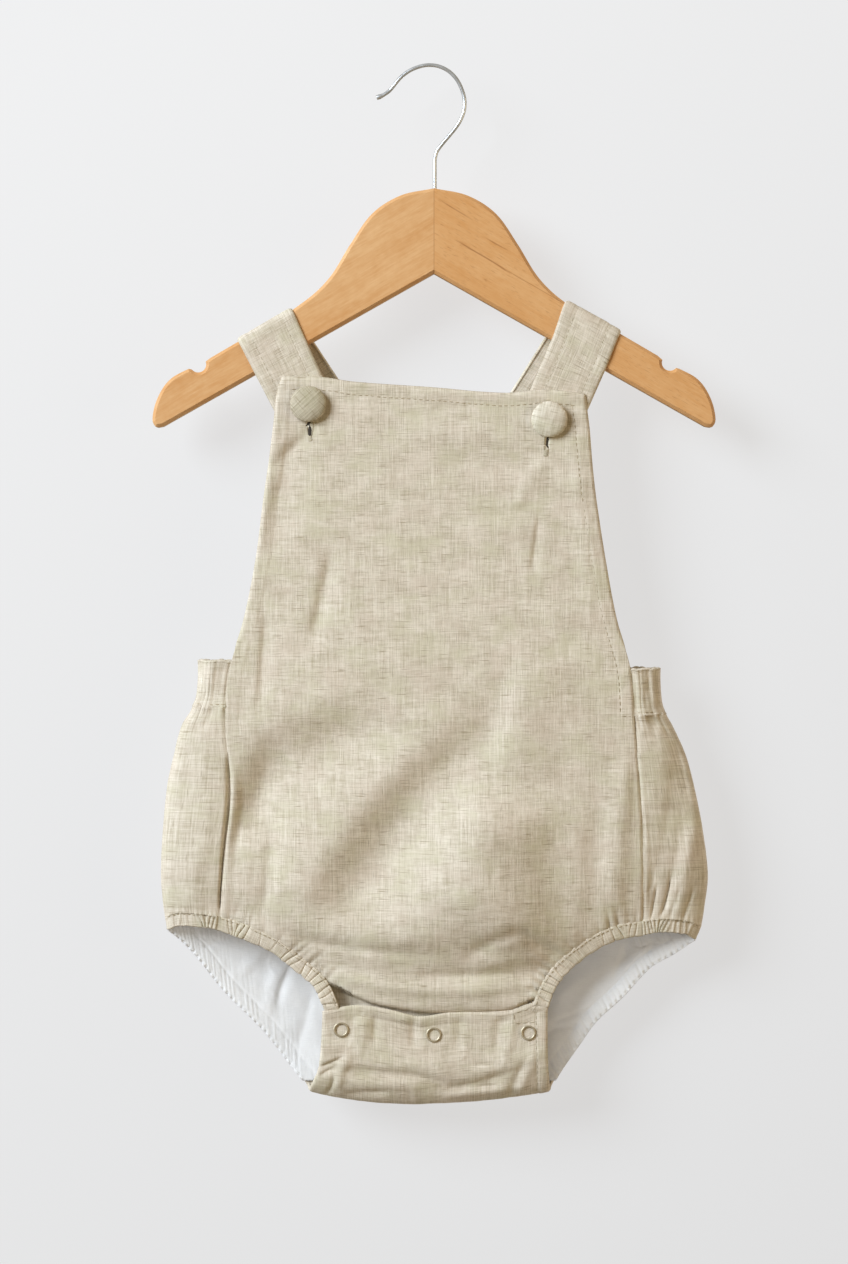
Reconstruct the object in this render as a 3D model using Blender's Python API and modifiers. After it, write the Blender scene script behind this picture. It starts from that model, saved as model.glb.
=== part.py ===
"""A baby's sunsuit romper hanging on a child's wooden hanger.

Metres, +Z up. The front faces -Y and the wearer's right side is at -X. The origin is where a rail touches
the inside of the hook, so everything hangs below it. The tables below are in millimetres.
"""

import math

import bmesh
import bpy
import numpy as np
from mathutils import Vector

MM = 0.001

# ---- driving dimensions, mm -------------------------------------------------------------------------
GAP = 0.6  # between pieces that are sewn edge to edge
SEAM_GAP = 0.8  # between front and back at a side seam, where the walls are at an angle
CLEAR = 0.35  # between pieces that lie on each other
CLOTH = 1.4  # one turned or lined layer of linen
BAND_CLOTH = 2.0  # a casing with its elastic
FLAP_CLOTH = 1.6  # the crotch flap, two layers
LINING_CLOTH = 1.0
STRAP_CLOTH = 1.5

CASING_WIDTH = 7.0  # leg casings
BUTTON_WIDTH = 19.3
BUTTON_HEIGHT = 6.4
BUTTONHOLE_LENGTH = 22.0
BUTTONHOLE_WIDTH = 3.0
SHANK_RADIUS = 1.0
SNAP_RADIUS = 4.15
SNAP_RIM = 1.35
SNAP_HEIGHT = 1.1
STUD_RADIUS = 3.8
STUD_HEIGHT = 1.0

WOOD_THICK = 12.0
WOOD_ROUND = 2.5  # rounding of its long edges
ARM_SLOPE = 0.585  # fall of an arm for each mm outwards
ARM_HEIGHT = 21.5  # measured straight down
APEX_Z = -107.5  # inner corner under the hanger's head
NOTCH_RADIUS = 4.3
WIRE_RADIUS = 1.0
HOOK_BALL_RADIUS = 1.4
HOOK_DEPTH = 14.0  # how far the wire goes into the wood

# The front panel from the bib's top to the tab under the flap: its two edges, how far its middle stands
# out, and what share of that its edges have.
FRONT = (
    # z, left, right, depth, edge share
    (-162.0, -78.5, 79.0, 9.3, 0.98),
    (-172.8, -82.9, 79.8, 9.3, 0.98),
    (-193.1, -85.4, 82.4, 9.4, 0.98),
    (-212.9, -87.9, 84.0, 9.8, 0.96),
    (-231.7, -90.6, 86.1, 10.4, 0.92),
    (-263.8, -94.7, 91.0, 11.8, 0.86),
    (-295.9, -101.1, 97.0, 13.6, 0.78),
    (-321.5, -108.6, 104.4, 15.4, 0.72),
    (-347.2, -111.6, 107.2, 17.6, 0.68),
    (-386.8, -110.6, 110.2, 21.4, 0.60),
    (-418.9, -111.8, 111.3, 24.2, 0.56),
    (-448.3, -113.4, 110.7, 25.0, 0.54),
    (-466.0, -113.4, 110.7, 22.4, 0.54),
    (-478.0, -113.4, 110.7, 18.4, 0.56),
    (-488.0, -113.4, 110.7, 16.4, 0.60),
    (-494.0, -113.4, 110.7, 13.6, 0.66),
    (-498.0, -113.4, 110.7, 10.9, 0.74),
    (-502.0, -113.4, 110.7, 9.0, 0.80),
    (-507.0, -113.4, 110.7, 8.2, 0.84),
    (-531.0, -113.4, 110.7, 7.6, 0.86),
)
BIB_TOP = ((-80.2, -166.2), (-59.0, -166.8), (-42.0, -169.2), (0.0, -172.2), (38.0, -175.2), (60.0, -173.4), (80.0, -175.6))
TAB_Z = -530.0  # lower edge of the tab that buttons behind the flap

# The outline of the hips and how far the back stands out.
SIDES = (
    # z, left, right, depth of the back
    (-317.3, -125.7, 120.4, 10.6),
    (-336.0, -126.6, 121.0, 10.8),
    (-344.0, -129.6, 122.6, 11.6),
    (-352.0, -134.4, 127.0, 13.2),
    (-368.1, -138.6, 134.0, 15.8),
    (-384.1, -142.0, 138.4, 17.6),
    (-408.2, -144.4, 143.2, 19.2),
    (-432.3, -145.4, 145.9, 20.0),
    (-448.3, -144.2, 144.2, 19.6),
    (-461.2, -142.3, 142.0, 18.6),
    (-466.5, -142.3, 139.6, 18.0),
    (-490.0, -142.3, 139.6, 15.2),
    (-515.0, -142.3, 139.6, 10.8),
    (-542.5, -142.3, 139.6, 5.2),
)
WAIST_TOP = ((-109.2, -317.6), (-126.0, -317.2), (0.0, -318.5), (121.0, -321.5), (105.0, -322.2))
WAIST_WIDTH = 25.0
CROTCH_Z = -542.5  # lower edge of the back panel

# Outer edges of the leg openings, (x, z): along the front from the side seam to the tab, round the side
# from that seam to the hip, and along the back from the hip to the crotch.
LEGS = {
    "left": {
        "front": (
            (-113.4, -461.3), (-98.4, -467.1), (-86.7, -472.5), (-76.0, -481.0), (-64.7, -490.6),
            (-59.5, -500.0), (-56.5, -511.0), (-55.0, -530.0),
        ),
        "side": ((-113.4, -461.3), (-121.4, -459.8), (-134.8, -459.0), (-142.3, -461.2)),
        "back": (
            (-142.3, -461.2), (-130.5, -471.9), (-112.9, -493.8), (-94.7, -512.0), (-86.7, -521.1),
            (-74.9, -536.6), (-70.0, -542.5),
        ),
    },
    "right": {
        "front": (
            (110.7, -463.8), (100.0, -465.5), (85.6, -471.9), (69.5, -485.2), (63.1, -495.4),
            (59.0, -506.6), (56.8, -517.9), (56.0, -530.0),
        ),
        "side": ((110.7, -463.8), (120.9, -462.2), (133.8, -463.8), (139.6, -466.5)),
        "back": (
            (139.6, -466.5), (128.9, -474.0), (115.6, -482.0), (101.1, -497.6), (86.7, -510.9),
            (78.6, -522.2), (69.5, -535.0), (64.8, -542.5),
        ),
    },
}
LEG_PULL = 0.68  # what the elastic leaves of the depth at a leg opening
PULL_REACH = 42.0  # how far from the opening it is felt
PULL_ENDS = {"front": -508.0, "back": -538.0}  # heights at which the tab and the crotch lie flat again

# Soft folds: a ridge where the height is positive, a trough where it is negative.
FRONT_FOLDS = (
    # x1, z1, x2, z2, bow, height, width
    (-99.0, -376.0, -34.0, -334.0, -4.0, -3.2, 8.0),
    (-72.0, -396.0, 0.0, -346.0, -5.0, 2.4, 12.0),
    (-52.0, -436.0, 26.0, -357.0, -7.0, -3.6, 8.5),
    (-80.0, -453.0, 34.0, -402.0, 9.0, 2.6, 13.0),
    (33.0, -404.0, 54.0, -320.0, 0.0, 2.2, 9.0),
    (51.0, -404.0, 42.0, -464.0, 3.0, -3.6, 7.5),
    (54.0, -372.0, 66.0, -446.0, -7.0, 1.6, 5.0),
    (84.0, -350.0, 81.0, -440.0, 2.0, -2.0, 6.0),
    (-90.0, -408.0, -95.0, -448.0, 0.0, -2.0, 4.5),
    (-92.0, -300.0, -95.0, -345.0, 0.0, -1.2, 6.0),
    (-62.0, -262.0, -66.0, -300.0, 0.0, -1.0, 6.0),
    (-24.0, -262.0, 26.0, -222.0, 0.0, -0.9, 10.0),
    (-6.0, -201.0, 56.0, -203.0, 2.0, -0.9, 7.0),
)
BACK_FOLDS = (
    # x1, z1, x2, z2, bow, height, width
    (-84.0, -364.0, -20.0, -420.0, 6.0, -2.8, 9.0),
    (-58.0, -352.0, 10.0, -404.0, 4.0, 2.2, 11.0),
    (86.0, -362.0, 22.0, -426.0, -6.0, -3.0, 9.0),
    (52.0, -380.0, -26.0, -446.0, -5.0, 2.4, 12.0),
    (104.0, -392.0, 92.0, -462.0, 3.0, 2.0, 7.0),
    (-106.0, -384.0, -96.0, -456.0, -3.0, 2.0, 7.0),
    (-40.0, -486.0, 44.0, -480.0, 5.0, -2.0, 8.0),
)
# The pleats where the back comes round to the front at each hip.
HIP_FOLDS = (
    # x1, z1, x2, z2, bow, height, width
    (128.5, -352.0, 124.0, -452.0, 1.5, -3.4, 3.6),
    (116.0, -356.0, 116.0, -440.0, 0.0, -1.4, 2.6),
    (-128.0, -350.0, -131.0, -398.0, 1.0, -1.5, 3.0),
    (-119.0, -352.0, -117.5, -430.0, 0.0, -1.6, 3.0),
)

FRONT_COLUMNS = 32
FRONT_LEG_COLUMNS = 11  # of those, for each leg
FRONT_ROWS = (
    # share of the way down, rows
    (0.50, 9),
    (0.84, 12),
    (1.00, 9),
)
FRONT_GATHERS = 4  # parts of a casing for each column beside it
SIDE_COLUMNS = 5
BACK_COLUMNS = 58
BACK_LEG_COLUMNS = 19  # of those, for each leg
BACK_ROWS = 12
BACK_GATHERS = 2

# The flap, folded up from the crotch over the tab: each row's share of the way from its edge down to the
# fold, its depth and its two ends. The last rows come up again behind.
FLAP_ROWS = (
    # face, share, y, left, right
    ("front", 0.00, -13.0, -58.9, 60.3),
    ("front", 0.07, -12.4, -59.0, 60.2),
    ("front", 0.12, -12.0, -59.1, 60.0),
    ("front", 0.48, -12.0, -60.0, 60.0),
    ("front", 0.70, -10.9, -61.4, 60.3),
    ("front", 0.87, -8.6, -64.2, 61.0),
    ("front", 0.965, -5.4, -66.0, 61.5),
    ("back", 1.00, -1.6, -66.6, 61.8),
    ("back", 0.72, 2.4, -67.2, 62.4),
    ("back", 0.36, 4.2, -68.4, 63.4),
    ("back", 0.00, 5.0, -69.8, 64.6),
)
FLAP_TOP = (
    (-58.9, -504.5), (-41.0, -501.2), (-24.0, -503.5), (-8.0, -507.2), (7.0, -505.4), (39.0, -504.3),
    (49.0, -501.0), (55.0, -498.6), (60.3, -499.2),
)
FLAP_LOWEST = (-13.0, -553.9)  # x and z
FLAP_RISE = 6.8  # from there to the fold's ends
FLAP_COLUMNS = 20

SNAPS = {
    # x, z
    "left": (-49.6, -513.9),
    "middle": (-0.3, -516.6),
    "right": (50.1, -515.6),
}
BUTTONS = {
    # x, z, lean of the buttonhole in degrees
    "left": (-66.9, -180.8, 3.0),
    "right": (61.5, -188.9, -6.0),
}
BUTTONHOLE_DROP = 8.5  # from the button's middle to the hole's

# Straps, from the end behind the bib up to the hanger, over it and down to the back waistband.
STRAP_TURN_ROWS = 3  # for each edge of the wood
STRAPS = {
    "left": {
        # outer x, outer z, inner x, inner z, y
        "front": (
            (-75.5, -201.7, -47.5, -192.5, -7.1),
            (-87.6, -178.7, -58.9, -168.6, -7.1),
            (-95.6, -163.4, -68.0, -148.4, -7.1),
        ),
        "over": (-104.1, -76.0),
        "back": (
            (-93.6, -162.6, -66.0, -145.0, 7.1),
            (-79.1, -184.1, -51.5, -167.1, 7.1),
            (-44.8, -239.8, -11.9, -231.4, 6.9),
            (-12.0, -293.0, 24.2, -290.0, 6.8),
            (2.8, -317.0, 40.9, -317.0, 6.9),
            (13.0, -336.0, 51.0, -336.0, 7.0),
        ),
    },
    "right": {
        "front": (
            (73.1, -203.0, 39.5, -193.5, -7.1),
            (84.0, -178.0, 49.8, -171.6, -7.1),
            (91.4, -161.2, 62.4, -144.6, -7.1),
        ),
        "over": (99.3, 71.0),
        "back": (
            (90.6, -157.6, 61.5, -142.0, 7.1),
            (75.0, -182.0, 45.6, -167.4, 7.1),
            (44.4, -230.0, 8.6, -225.6, 8.6),
            (29.0, -254.2, -9.2, -253.6, 9.0),
            (-6.2, -310.0, -44.6, -310.0, 8.8),
            (-10.9, -317.0, -49.4, -317.0, 7.1),
            (-23.0, -336.0, -61.4, -336.0, 7.0),
        ),
    },
}
STRAP_COLUMNS = 4

# The hook's wire, (x, z): up from the wood, over the rail and back in a small curl.
HOOK = (
    (0.4, -49.5), (1.4, -45.5), (4.1, -41.6), (11.1, -33.2), (14.0, -28.7), (16.0, -23.6), (16.4, -18.3),
    (15.2, -12.9), (12.5, -7.2), (8.3, -2.6), (3.0, 0.2), (-2.4, 1.0), (-7.4, 0.3), (-13.2, -2.1),
    (-18.1, -5.9), (-21.1, -9.9), (-23.5, -12.9), (-26.4, -15.0), (-29.0, -16.0),
)
HOOK_STEPS = 40

# Half of the hanger's outline, (x, z): the head and shoulder, then the round tip.
SHOULDER = ((0.0, -65.3), (18.0, -69.2), (33.0, -78.8), (44.8, -95.4), (54.6, -111.4), (63.6, -121.2), (76.0, -130.6))
TIP = ((131.0, -162.0), (139.6, -167.4), (145.8, -175.4), (149.6, -185.0), (150.6, -189.8), (148.6, -192.9), (144.6, -192.1))
NOTCH_X = 126.0

COLOURS = {
    "linen": (0.60, 0.53, 0.41, 1.0),
    "lining": (0.84, 0.84, 0.85, 1.0),
    "button": (0.56, 0.50, 0.38, 1.0),
    "snap": (0.62, 0.58, 0.50, 1.0),
    "wood": (0.72, 0.42, 0.17, 1.0),
    "chrome": (0.78, 0.79, 0.80, 1.0),
}


# ---- helpers ----------------------------------------------------------------------------------------
def blend(low, high, share):
    return low + (high - low) * share


def ease(share):
    """0 below 0, 1 above 1, and a smooth step between."""
    share = min(max(share, 0.0), 1.0)
    return share * share * (3 - 2 * share)


def slope(xs, ys, i):
    low, high = max(i - 1, 0), min(i + 1, len(xs) - 1)
    return (ys[high] - ys[low]) / (xs[high] - xs[low])


def read(xs, ys, x):
    """The value at x of a smooth curve through these points, whose xs rise."""
    if x <= xs[0]:
        return ys[0]
    if x >= xs[-1]:
        return ys[-1]
    i = next(k for k in range(len(xs) - 1) if x <= xs[k + 1])
    span = xs[i + 1] - xs[i]
    t = (x - xs[i]) / span
    rise, fall = slope(xs, ys, i) * span, slope(xs, ys, i + 1) * span
    return (
        (2 * t**3 - 3 * t**2 + 1) * ys[i]
        + (t**3 - 2 * t**2 + t) * rise
        + (3 * t**2 - 2 * t**3) * ys[i + 1]
        + (t**3 - t**2) * fall
    )


def row_at(table, z, column):
    """A column of a table of sections, read at height z."""
    rows = table[::-1]
    return read([row[0] for row in rows], [row[column] for row in rows], z)


def height_at(line, x):
    """The z of a line of (x, z) points, whose xs rise, at x."""
    return read([p[0] for p in line], [p[1] for p in line], x)


def smooth_line(points, count, upright=1.0):
    """count + 1 points evenly spaced along a smooth curve through these."""
    points = np.array(points, float)
    lengths = np.concatenate([[0], np.cumsum(np.linalg.norm(np.diff(points, axis=0), axis=1))])
    fine = np.linspace(0, lengths[-1], 12 * len(points))
    curve = np.array([[read(lengths, points[:, k], s) for k in range(points.shape[1])] for s in fine])
    return even_line(curve, count, upright)


def even_line(points, count, upright=1.0):
    """count + 1 points evenly spaced along this polyline, where a mm upwards counts as `upright` mm."""
    points = np.array(points, float)
    moves = np.diff(points, axis=0)
    moves[:, -1] *= upright
    lengths = np.concatenate([[0], np.cumsum(np.linalg.norm(moves, axis=1))])
    steps = np.linspace(0, lengths[-1], count + 1)
    return np.stack([np.interp(steps, lengths, points[:, k]) for k in range(points.shape[1])], axis=1)


def hip_calm(n, last):
    """0 at the two hips of a row of `last` + 1 columns, where the cloth turns round, and 1 away from them."""
    return ease((min(abs(n - SIDE_COLUMNS), abs(last - SIDE_COLUMNS - n)) - 0.5) / 4)


def fold_height(folds, x, z):
    """What these soft folds add at (x, z)."""
    total = 0.0
    for x1, z1, x2, z2, bow, height, width in folds:
        length = math.hypot(x2 - x1, z2 - z1)
        ux, uz = (x2 - x1) / length, (z2 - z1) / length
        s = ((x - x1) * ux + (z - z1) * uz) / length
        if not -0.25 < s < 1.25:
            continue
        across = (x - x1) * uz - (z - z1) * ux - bow * 4 * s * (1 - s)
        fade = ease((s + 0.25) / 0.5) * ease((1.25 - s) / 0.5)
        total += height * fade * math.exp(-((across / width) ** 2))
    return total


# ---- the garment's form -----------------------------------------------------------------------------
def front_y(x, z):
    left, right = row_at(FRONT, z, 1), row_at(FRONT, z, 2)
    depth, edge = row_at(FRONT, z, 3), row_at(FRONT, z, 4)
    t = min(max((x - left) / (right - left), 0.0), 1.0)
    across = 1 - abs(2 * t - 1) ** 2.5
    return -depth * blend(edge, 1.0, across)


def side_y(x, z, side):
    """The back panel where it comes round to the front, from the hip to the side seam."""
    column = 1 if side == "left" else 2
    seam, hip = row_at(FRONT, z, column), row_at(SIDES, z, column)
    share = min(max((x - hip) / (seam - hip), 0.0), 1.0)
    at_seam = row_at(FRONT, z, 3) * row_at(FRONT, z, 4)
    return -at_seam * math.sqrt(1 - (1 - share) ** 2)


def back_y(x, z):
    left, right = row_at(SIDES, z, 1), row_at(SIDES, z, 2)
    t = min(max((x - left) / (right - left), 0.0), 1.0)
    return row_at(SIDES, z, 3) * math.sqrt(max(1 - abs(2 * t - 1) ** 3, 0.0))


def side_share(step):
    """How far column `step` of a side lies from the seam, as a share of the way to the hip."""
    return 1 - (1 - step / SIDE_COLUMNS) ** 2


def side_x(side, step, z):
    column, inward = (1, 1.0) if side == "left" else (2, -1.0)
    seam = row_at(FRONT, z, column) - inward * SEAM_GAP / 2
    return blend(seam, row_at(SIDES, z, column), side_share(step))


def side_lines(side, inset):
    """The leg opening's edge from the side seam round to the hip, and the same moved inset mm up."""
    line = LEGS[side]["side"]
    rising = line if line[0][0] < line[-1][0] else line[::-1]
    outer, inner = [], []
    for step in range(SIDE_COLUMNS + 1):
        z = height_at(rising, blend(line[0][0], line[-1][0], side_share(step)))
        outer.append((side_x(side, step, z), z))
        inner.append((side_x(side, step, z + inset), z + inset))
    return np.array(outer), np.array(inner)


def casing_lines(side, part, count, inset):
    """Points (x, z) along a leg opening's edge, and the same points moved inset mm into the panel.

    At its ends the move follows the edge of the neighbouring piece: up at the side seam and along the hip,
    level at the tab and the crotch.
    """
    inward = 1.0 if side == "left" else -1.0
    outer = smooth_line(LEGS[side][part], count, 0.5 if part == "front" else 1.0)
    tangents = np.gradient(outer, axis=0)
    inner = []
    for i, (point, tangent) in enumerate(zip(outer, tangents)):
        normal = np.array([-tangent[1], tangent[0]]) / np.hypot(*tangent)
        normal *= 1.0 if normal[0] * inward + normal[1] > 0 else -1.0
        share = i / count
        start, end = np.array([0.0, 1.0]), np.array([inward, 0.0])
        if part == "back":
            hip = row_at(SIDES, outer[0][1] + inset, 1 if side == "left" else 2)
            start = np.array([(hip - outer[0][0]) / inset, 1.0])
        normal = start + (normal - start) * ease(share / 0.2)
        normal = normal + (end - normal) * ease((share - 0.8) / 0.2)
        inner.append(point + inset * normal / (np.hypot(*normal) if share > 0 else 1.0))
    if part == "front":
        shift = np.array([inward * SEAM_GAP / 2, 0.0])
        fades = [ease(1 - 4 * i / count) for i in range(count + 1)]
        outer = outer + np.outer(fades, shift)
        inner = np.array(inner) + np.outer(fades, shift)
    return outer, np.array(inner)


def front_bottom(inset):
    """The front panel's lower edge: a point for each column, inset mm inside the leg openings."""
    left = casing_lines("left", "front", FRONT_LEG_COLUMNS, inset)[1]
    right = casing_lines("right", "front", FRONT_LEG_COLUMNS, inset)[1][::-1]
    middle = np.linspace(left[-1], right[0], FRONT_COLUMNS - 2 * FRONT_LEG_COLUMNS + 1)
    return np.concatenate([left, middle[1:-1], right])


def back_bottom(inset):
    left = casing_lines("left", "back", BACK_LEG_COLUMNS, inset)[1]
    right = casing_lines("right", "back", BACK_LEG_COLUMNS, inset)[1][::-1]
    middle = np.linspace(left[-1], right[0], BACK_COLUMNS - 2 * BACK_LEG_COLUMNS + 1)
    return np.concatenate([left, middle[1:-1], right])


def leg_pull(x, z, part):
    """What the elastic leaves of the depth: it draws the cloth in near a leg opening."""
    edge = np.array(LEG_LINES["left" if x < 0 else "right"][part])
    distance = np.hypot(edge[:, 0] - x, edge[:, 1] - z).min()
    near = (1 - ease(distance / PULL_REACH)) * ease((z - PULL_ENDS[part]) / 34)
    return blend(1.0, LEG_PULL, near)


def displaced(grid, amount):
    """The grid with each point moved along its normal by amount(row, column)."""
    grid = np.array(grid, float)
    down, along = np.gradient(grid, axis=0), np.gradient(grid, axis=1)
    normals = np.cross(along, down)
    normals /= np.linalg.norm(normals, axis=2, keepdims=True) + 1e-9
    rows, columns = grid.shape[:2]
    moves = np.array([[amount(j, i) for i in range(columns)] for j in range(rows)])
    return grid + normals * moves[:, :, None]


# ---- making objects ---------------------------------------------------------------------------------
def clear_scene():
    for thing in list(bpy.data.objects):
        bpy.data.objects.remove(thing)


def new_collection(name):
    collection = bpy.data.collections.new(name)
    bpy.context.scene.collection.children.link(collection)
    return collection


def new_material(name, roughness, metallic=0.0):
    material = bpy.data.materials.new(name)
    material.use_nodes = True
    shader = material.node_tree.nodes["Principled BSDF"]
    shader.inputs["Base Color"].default_value = COLOURS[name]
    shader.inputs["Roughness"].default_value = roughness
    shader.inputs["Metallic"].default_value = metallic
    material.diffuse_color = COLOURS[name]
    return material


def new_object(name, data, material):
    thing = bpy.data.objects.new(name, data)
    thing.data.materials.append(material)
    parts.objects.link(thing)
    return thing


def cloth_object(name, grid, thickness, material):
    """A wall of cloth, thickness mm thick, whose middle surface is this grid of points."""
    grid = np.array(grid, float)
    rows, columns = grid.shape[0] - 1, grid.shape[1] - 1
    mesh = bpy.data.meshes.new(name)
    bm = bmesh.new()
    bmesh.ops.create_grid(bm, x_segments=columns, y_segments=rows, size=0.5)
    for vertex in bm.verts:
        i = round((vertex.co.x + 0.5) * columns)
        j = round((vertex.co.y + 0.5) * rows)
        vertex.co = Vector(grid[j, i] * MM)
    bm.to_mesh(mesh)
    bm.free()
    mesh.shade_smooth()
    thing = new_object(name, mesh, material)
    wall = thing.modifiers.new("wall", "SOLIDIFY")
    wall.thickness = thickness * MM
    wall.offset = 0.0
    return thing


def turned_object(name, profile, steps, closed, material):
    """A profile of (radius, height) points, in mm, turned about the local Z axis."""
    mesh = bpy.data.meshes.new(name)
    points = [(radius * MM, 0.0, height * MM) for radius, height in profile]
    edges = [(i, i + 1) for i in range(len(points) - 1)]
    if closed:
        edges.append((len(points) - 1, 0))
    mesh.from_pydata(points, edges, [])
    thing = new_object(name, mesh, material)
    screw = thing.modifiers.new("turn", "SCREW")
    screw.steps = screw.render_steps = steps
    screw.use_merge_vertices = True
    screw.merge_threshold = 0.00001
    screw.use_smooth_shade = True
    return thing


def facing_front(thing, x, y, z):
    """Stands a turned object on the garment's front, with its local Z axis pointing forwards."""
    thing.location = (x * MM, y * MM, z * MM)
    thing.rotation_euler = (math.pi / 2, 0.0, 0.0)


def cut(thing, cutter):
    cutter.hide_render = True
    cutter.display_type = "WIRE"
    for collection in list(cutter.users_collection):
        collection.objects.unlink(cutter)
    cutters.objects.link(cutter)
    boolean = thing.modifiers.new("cut", "BOOLEAN")
    boolean.object = cutter
    boolean.operation = "DIFFERENCE"


def as_mesh(curve):
    """The curve object's shape as a mesh object with welded caps, in its place."""
    graph = bpy.context.evaluated_depsgraph_get()
    mesh = bpy.data.meshes.new_from_object(curve.evaluated_get(graph))
    bm = bmesh.new()
    bm.from_mesh(mesh)
    bmesh.ops.remove_doubles(bm, verts=bm.verts, dist=0.000001)
    bmesh.ops.recalc_face_normals(bm, faces=bm.faces)
    bm.to_mesh(mesh)
    bm.free()
    name, material = curve.name, curve.data.materials[0]
    place = curve.matrix_world.copy()
    bpy.data.objects.remove(curve)
    mesh.materials.clear()
    thing = new_object(name, mesh, material)
    thing.matrix_world = place
    return thing


# ---- cloth pieces -----------------------------------------------------------------------------------
def front_panel():
    """Bib and front body in one piece, with its two buttonholes."""
    bottom = front_bottom(CASING_WIDTH + GAP)
    left_end, right_end = bottom[0], bottom[-1]
    downs = [0.0]
    for end, rows in FRONT_ROWS:
        downs += list(np.linspace(downs[-1], end, rows + 1)[1:])
    grid = []
    for down in downs:
        row = []
        for i in range(FRONT_COLUMNS + 1):
            across = i / FRONT_COLUMNS
            top_x = blend(BIB_TOP[0][0], BIB_TOP[-1][0], across)
            z = blend(height_at(BIB_TOP, top_x), bottom[i][1], down)
            left, right = row_at(FRONT, z, 1), row_at(FRONT, z, 2)
            low = (bottom[i][0] - left_end[0]) / (right_end[0] - left_end[0])
            share = blend(across, low, down**4)
            x = blend(left + SEAM_GAP / 2, right - SEAM_GAP / 2, share)
            calm = 1 - ease((down - 0.86) / 0.14)
            y = front_y(x, z) * leg_pull(x, z, "front") - fold_height(FRONT_FOLDS, x, z) * calm
            row.append((x, y, z))
        grid.append(row)

    def pucker(j, i):
        from_tab = abs(i - FRONT_COLUMNS / 2) - (FRONT_COLUMNS / 2 - FRONT_LEG_COLUMNS)
        return 0.6 * (-1) ** i * ease((from_tab - 1) / 3) * ease((downs[j] - 0.88) / 0.12)

    panel = cloth_object("front_panel", displaced(grid, pucker), CLOTH, linen)
    for side, (x, z, lean) in BUTTONS.items():
        bpy.ops.mesh.primitive_cube_add(size=1.0)
        slot = bpy.context.object
        slot.name = f"buttonhole_{side}"
        turn = math.radians(lean)
        slot.scale = (BUTTONHOLE_WIDTH * MM, 12 * MM, BUTTONHOLE_LENGTH * MM)
        slot.rotation_euler = (0.0, -turn, 0.0)
        hole_x = x + BUTTONHOLE_DROP * math.sin(turn)
        hole_z = z - BUTTONHOLE_DROP * math.cos(turn)
        slot.location = (hole_x * MM, front_y(x, z) * MM, hole_z * MM)
        cut(panel, slot)
    return panel


def back_share(i):
    """How far across the back column i lies: closer together at the hips, where the cloth turns round."""
    even = i / BACK_COLUMNS
    return blend((1 - math.cos(math.pi * even)) / 2, even, 0.35)


def round_row(z_of, columns_of):
    """One row of points from the left side seam round the back to the right one.

    z_of(part, i) gives each column's height and columns_of(part, i, z) its x.
    """
    row = []
    for step in range(SIDE_COLUMNS):
        z = z_of("left", step)
        x = columns_of("left", step, z)
        row.append((x, side_y(x, z, "left"), z))
    for i in range(BACK_COLUMNS + 1):
        z = z_of("back", i)
        x = columns_of("back", i, z)
        row.append((x, back_y(x, z), z))
    for step in range(SIDE_COLUMNS - 1, -1, -1):
        z = z_of("right", step)
        x = columns_of("right", step, z)
        row.append((x, side_y(x, z, "right"), z))
    return row


def waist_z(part, i, row_share):
    """Height on the waistband: its top edge follows WAIST_TOP, from seam to hip, across and back."""
    left_seam, left_hip, middle, right_hip, right_seam = (point[1] for point in WAIST_TOP)
    if part == "left":
        top = blend(left_seam, left_hip, side_share(i))
    elif part == "right":
        top = blend(right_seam, right_hip, side_share(i))
    else:
        across = back_share(i)
        top = blend(left_hip, middle, 2 * across) if across < 0.5 else blend(middle, right_hip, 2 * across - 1)
    return top - WAIST_WIDTH * row_share


def back_waistband():
    """The gathered elastic casing along the top of the back, which comes round to both side seams."""

    def columns_of(part, i, z):
        if part == "back":
            return blend(row_at(SIDES, z, 1), row_at(SIDES, z, 2), back_share(i))
        return side_x(part, i, z)

    grid = [
        round_row(lambda part, i, share=share: waist_z(part, i, share), columns_of)
        for share in (0.0, 0.5, 1.0)
    ]
    return cloth_object("back_waistband", displaced(grid, lambda j, i: 0.7 * (-1) ** i), BAND_CLOTH, linen)


def back_panel():
    """The back, gathered into the waistband above and the leg casings below."""
    bottom = back_bottom(CASING_WIDTH + GAP)
    sides = {side: side_lines(side, CASING_WIDTH + GAP)[1] for side in LEGS}
    lows = []
    for x, z in bottom:
        left, right = row_at(SIDES, z, 1), row_at(SIDES, z, 2)
        lows.append((x - left) / (right - left))
    downs = [j / BACK_ROWS for j in range(BACK_ROWS + 1)]
    grid = []
    for down in downs:

        def z_of(part, i, down=down):
            top = waist_z(part, i, 1.0) - 1.4 * GAP
            low = bottom[i][1] if part == "back" else sides[part][i][1]
            return blend(top, low, down)

        def columns_of(part, i, z, down=down):
            if part != "back":
                return side_x(part, i, z)
            share = blend(back_share(i), lows[i], down**2)
            return blend(row_at(SIDES, z, 1), row_at(SIDES, z, 2), share)

        row = []
        for n, (x, y, z) in enumerate(round_row(z_of, columns_of)):
            i = n - SIDE_COLUMNS
            if 0 <= i <= BACK_COLUMNS:
                calm = 1 - ease((down - 0.84) / 0.16)
                y = y * leg_pull(x, z, "back") + fold_height(BACK_FOLDS, x, z) * calm
            else:
                calm = 1 - ease((down - 0.84) / 0.16)
                y = y * leg_pull(x, z, "back") - fold_height(HIP_FOLDS, x, z) * calm
            row.append((x, y, z))
        grid.append(row)

    def gather(j, i):
        from_waist = 1 - ease(downs[j] / (0.24 + 0.10 * ((i * 7) % 5) / 4))
        from_leg = ease((downs[j] - 0.82) / 0.18) * hip_calm(i, BACK_COLUMNS + 2 * SIDE_COLUMNS)
        return (0.9 * from_waist + 0.5 * from_leg) * (-1) ** i

    return cloth_object("back_panel", displaced(grid, gather), CLOTH, linen)


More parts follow.
